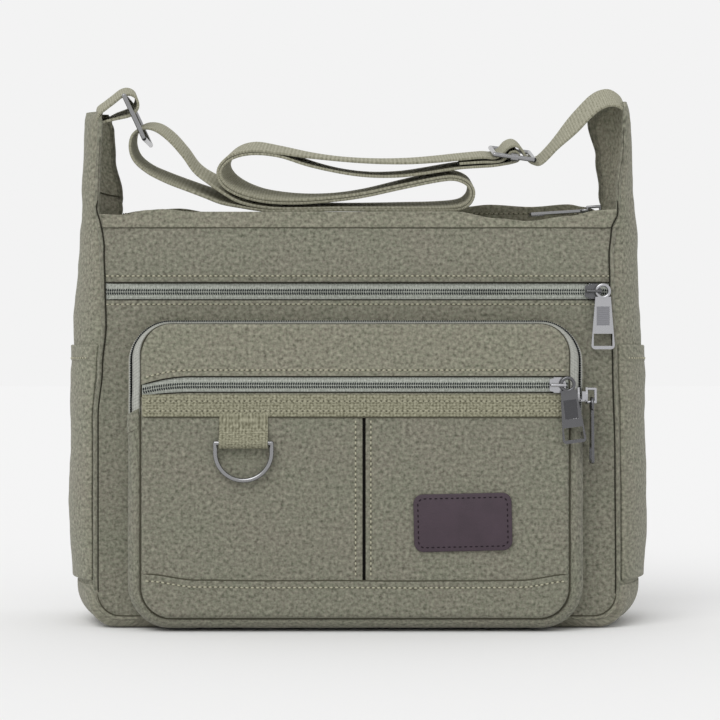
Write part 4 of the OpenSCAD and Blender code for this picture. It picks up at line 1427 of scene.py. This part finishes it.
END = [
    on_glide(-12.1, -7.4), on_glide(-5, -5.2), on_glide(-0.5, -3.6), on_glide(2.6, -2),
    on_glide(3.2, 0.6), on_glide(1, 3), on_glide(-2.2, 2.2), on_glide(-4.2, -0.8), on_glide(-7.4, -3.6),
    on_glide(-12.1, -5.1), on_glide(-18.2, -6.1), on_glide(-32.2, -8.9)
]
ROUTE = FREE + THREADED + UPPER + strand(1) + LOOP + strand(-1)[::-1] + LOWER + END


def lean(p):
    """Shears the folded strap towards the front, and its left fold to the right at the back."""
    up = through(
        [
            (-165, 0.2), (-137, 0.18), (-112, 0.22), (-75, 0.24), (-10, 0.14), (70, 0.18), (95, 0.2),
            (118, 0.2), (135, 0.36), (166, 0.38)
        ],
        p.x
    )
    aside = through([(-95, 0.0), (-80, 0.1), (-55, 0.0)], p.x)
    back = rise(249, 256, p.z) * (p.y - MOUTH)
    return Vector((p.x + aside * back, p.y, p.z + up * back))


strap_line = [Vector((x, MOUTH, z)) for x, z in spline(ROUTE, 5)]
strap, strap_length = ribbon(
    "shoulder_strap_webbing", strap_line, ACROSS, STRAP_WIDE, STRAP_THICK, strap_webbing, roll=lean,
    replaces=["shoulder_strap"]
)
TAB = [
    (-159.8, 304), (-160.2, 309.5), (-159.6, 314), (-156, 317), (-150.5, 321.2), (-145.5, 325),
    (-141, 326), (-137, 323.6), (-136.2, 318), (-140.5, 313.4), (-149, 310.6), (-156, 307.5),
    (-160.2, 302), (-160.6, 296)
]


def tab_lean(p):
    """Turns the tab so that its face shows from the front."""
    back = rise(300, 314, p.z) * (p.y - MOUTH)
    return Vector((p.x - 0.14 * back, p.y, p.z + 0.22 * back))


tab_top = [Vector((x, MOUTH, z)) for x, z in spline(TAB, 6)]
ribbon(
    "strap_tab_webbing", tab_top, ACROSS, STRAP_WIDE, STRAP_THICK, strap_webbing, roll=tab_lean,
    replaces=["strap_tab"]
)
print("strap length", round(strap_length), "mm")

# %% [markdown]
# ## Metal fittings
# The metal pieces are merged copies of the CAD nodes. A narrow bevel on their sharp edges carries a
# brighter metal, a painted highlight, which gives the thin highlights that make plated metal readable.

# %% Metal
BODY_OF = {
    node: body for body, nodes in frame["record"]["behaviour"]["bodies"].items() for node in nodes
}


def polished(node, material, width=0.2, roll=None):
    bm = bmesh.new()
    bm.from_mesh(frame["nodes"][node].data)
    bmesh.ops.remove_doubles(bm, verts=bm.verts, dist=2e-6)
    bmesh.ops.dissolve_limit(bm, angle_limit=math.radians(1.0), verts=bm.verts, edges=bm.edges)
    bmesh.ops.recalc_face_normals(bm, faces=bm.faces)
    if roll:
        for vert in bm.verts:
            p = Vector((vert.co.x * 1000, (vert.co.y - front_plane) * 1000, vert.co.z * 1000))
            vert.co = place(*roll(p))
    for edge in bm.edges:
        edge.smooth = edge.is_manifold and edge.calc_face_angle(0) < math.radians(40)
    piece = finish_piece(
        bm, node + "_metal", material, body=BODY_OF[node], replaces=[node], bevel=width
    )
    # The bevel faces take the bright edge metal: a painted highlight along the sharp edges.
    if width:
        piece.data.materials.append(highlight_edge_metal)
        piece.modifiers["soft_edge"].material = 1
    return piece


PLATING = {
    "front": (dark_metal, bright_metal),
    "pocket": (bright_metal, dark_metal),
    "face": (bright_metal, dark_metal),
    "top": (grey_metal, grey_metal),
}
for zip_name, (slider_metal, pull_metal) in PLATING.items():
    polished(zip_name + "_zip_slider", slider_metal, 0.24)
    polished(zip_name + "_zip_pull", pull_metal, 0.34)
for node in ("d_ring", "strap_ring"):
    polished(node, grey_metal, 0.0)
for node in ("adjuster_frame", "adjuster_bar"):
    polished(node, grey_metal, 0.0, roll=lean)


def ribbed_panel(node, turn, material):
    """The dark panel with fine ribs in the recess of a pull. turn places the pull's own frame."""
    bm = bmesh.new()
    bmesh.ops.create_cube(
        bm, size=1,
        matrix=turn @ Matrix.Translation((0, -14.9, 0.38)) @ Matrix.Diagonal((7.5, 11.2, 0.12, 1))
    )
    for k in range(9):
        at = Matrix.Translation((0, -10.2 - k * 1.17, 0.5))
        bmesh.ops.create_cube(bm, size=1, matrix=turn @ at @ Matrix.Diagonal((6.2, 0.5, 0.22, 1)))
    for vert in bm.verts:
        vert.co = place(*vert.co)
    bmesh.ops.recalc_face_normals(bm, faces=bm.faces)
    finish_piece(bm, node + "_ribs", material, body=BODY_OF[node], bevel=0.08, smooth=False)


def move(x, y, z):
    return Matrix.Translation((x, y, z))


def turned(degrees, axis):
    return Matrix.Rotation(math.radians(degrees), 4, axis)


# Each pull lies in its own frame, with its eye at EYE from the slider's middle. The turns below
# place that frame: first the slider's place, then the way it faces, then the pull's own swing.
EYE_X, EYE_Z = 5.52, 6.5
PANELS = [
    ("front_zip_pull", light_panel, move(141, 2.3, 202.2) @ turned(90, "X") @ move(EYE_X, 0, EYE_Z)),
    ("face_zip_pull", dark_panel, move(118, -17.7, 146.2) @ turned(90, "X") @ move(1.72, 0, EYE_Z)
        @ turned(7, "Z") @ move(3.8, 0, 0)),
    ("pocket_zip_pull", dark_panel, move(132.5, -12, 139.9) @ turned(90, "Y") @ move(EYE_X, 0, EYE_Z)
        @ turned(90, "Z")),
    ("top_zip_pull", light_panel, move(0, MOUTH, 236.5) @ turned(-4, "Y")
        @ move(146 - EYE_X, 0, EYE_Z) @ turned(-90, "Z")),
]
for pull, material, turn in PANELS:
    ribbed_panel(pull, turn, material)
print("metal made")

# %% [markdown]
# ## Floor, light and camera
# The floor is pale and the light is soft, so the only dark place under the bag is where it
# touches the floor. The camera stands low and well back, which keeps upright lines upright.

# %% Floor
def pale_floor():
    bm = bmesh.new()
    bmesh.ops.create_grid(bm, x_segments=1, y_segments=1, size=12)
    mesh = bpy.data.meshes.new("floor")
    bm.to_mesh(mesh)
    bm.free()
    mesh.transform(Matrix.Translation((0, 0, -0.0002)))
    pale = Finish("floor", linear(239, 239, 239), 1.0)
    pale.shader.inputs["Specular IOR Level"].default_value = 0.0
    mesh.materials.append(pale.mat)
    ground = bpy.data.objects.new("floor", mesh)
    bpy.context.scene.collection.objects.link(ground)


pale_floor()


# %% Light
def sky():
    """Even light all round. The camera, metal and glass see the pale background instead."""
    world = bpy.data.worlds.new("plain_sky")
    bpy.context.scene.world = world
    world.use_nodes = True
    nodes, links = world.node_tree.nodes, world.node_tree.links
    soft = nodes["Background"]
    soft.inputs["Color"].default_value = (1, 1, 1, 1)
    soft.inputs["Strength"].default_value = 0.80
    seen = nodes.new("ShaderNodeBackground")
    seen.inputs["Color"].default_value = linear(243, 243, 243)
    rays = nodes.new("ShaderNodeLightPath")
    last = soft
    for ray in ("Is Camera Ray", "Is Glossy Ray", "Is Transmission Ray"):
        mix = nodes.new("ShaderNodeMixShader")
        links.new(rays.outputs[ray], mix.inputs["Fac"])
        links.new(last.outputs[0], mix.inputs[1])
        links.new(seen.outputs[0], mix.inputs[2])
        last = mix
    links.new(last.outputs[0], nodes["World Output"].inputs["Surface"])


def sun(energy, place_at, aim, spread):
    """A wide, soft sun. spread is its angle in degrees: a larger one gives softer shadows."""
    light = bpy.data.lights.new("soft_sun", "SUN")
    light.energy = energy
    light.angle = math.radians(spread)
    holder = bpy.data.objects.new("soft_sun", light)
    holder.location = place_at
    holder.rotation_euler = (Vector(aim) - Vector(place_at)).to_track_quat("-Z", "Y").to_euler()
    bpy.context.scene.collection.objects.link(holder)


sky()
sun(1.1, (-1.0, -2.1, 2.6), (0, 0, 0.1), 40)
bpy.context.scene.view_settings.view_transform = "Standard"


# %% Camera
def low_camera():
    lens = bpy.data.cameras.new("front_camera")
    lens.angle = 2 * math.atan(216 / 1300)
    holder = bpy.data.objects.new("front_camera", lens)
    holder.location = (0.0012, front_plane - 1.3, 0.161)
    holder.rotation_euler = (math.radians(90), 0, 0)
    bpy.context.scene.collection.objects.link(holder)
    bpy.context.scene.camera = holder


low_camera()
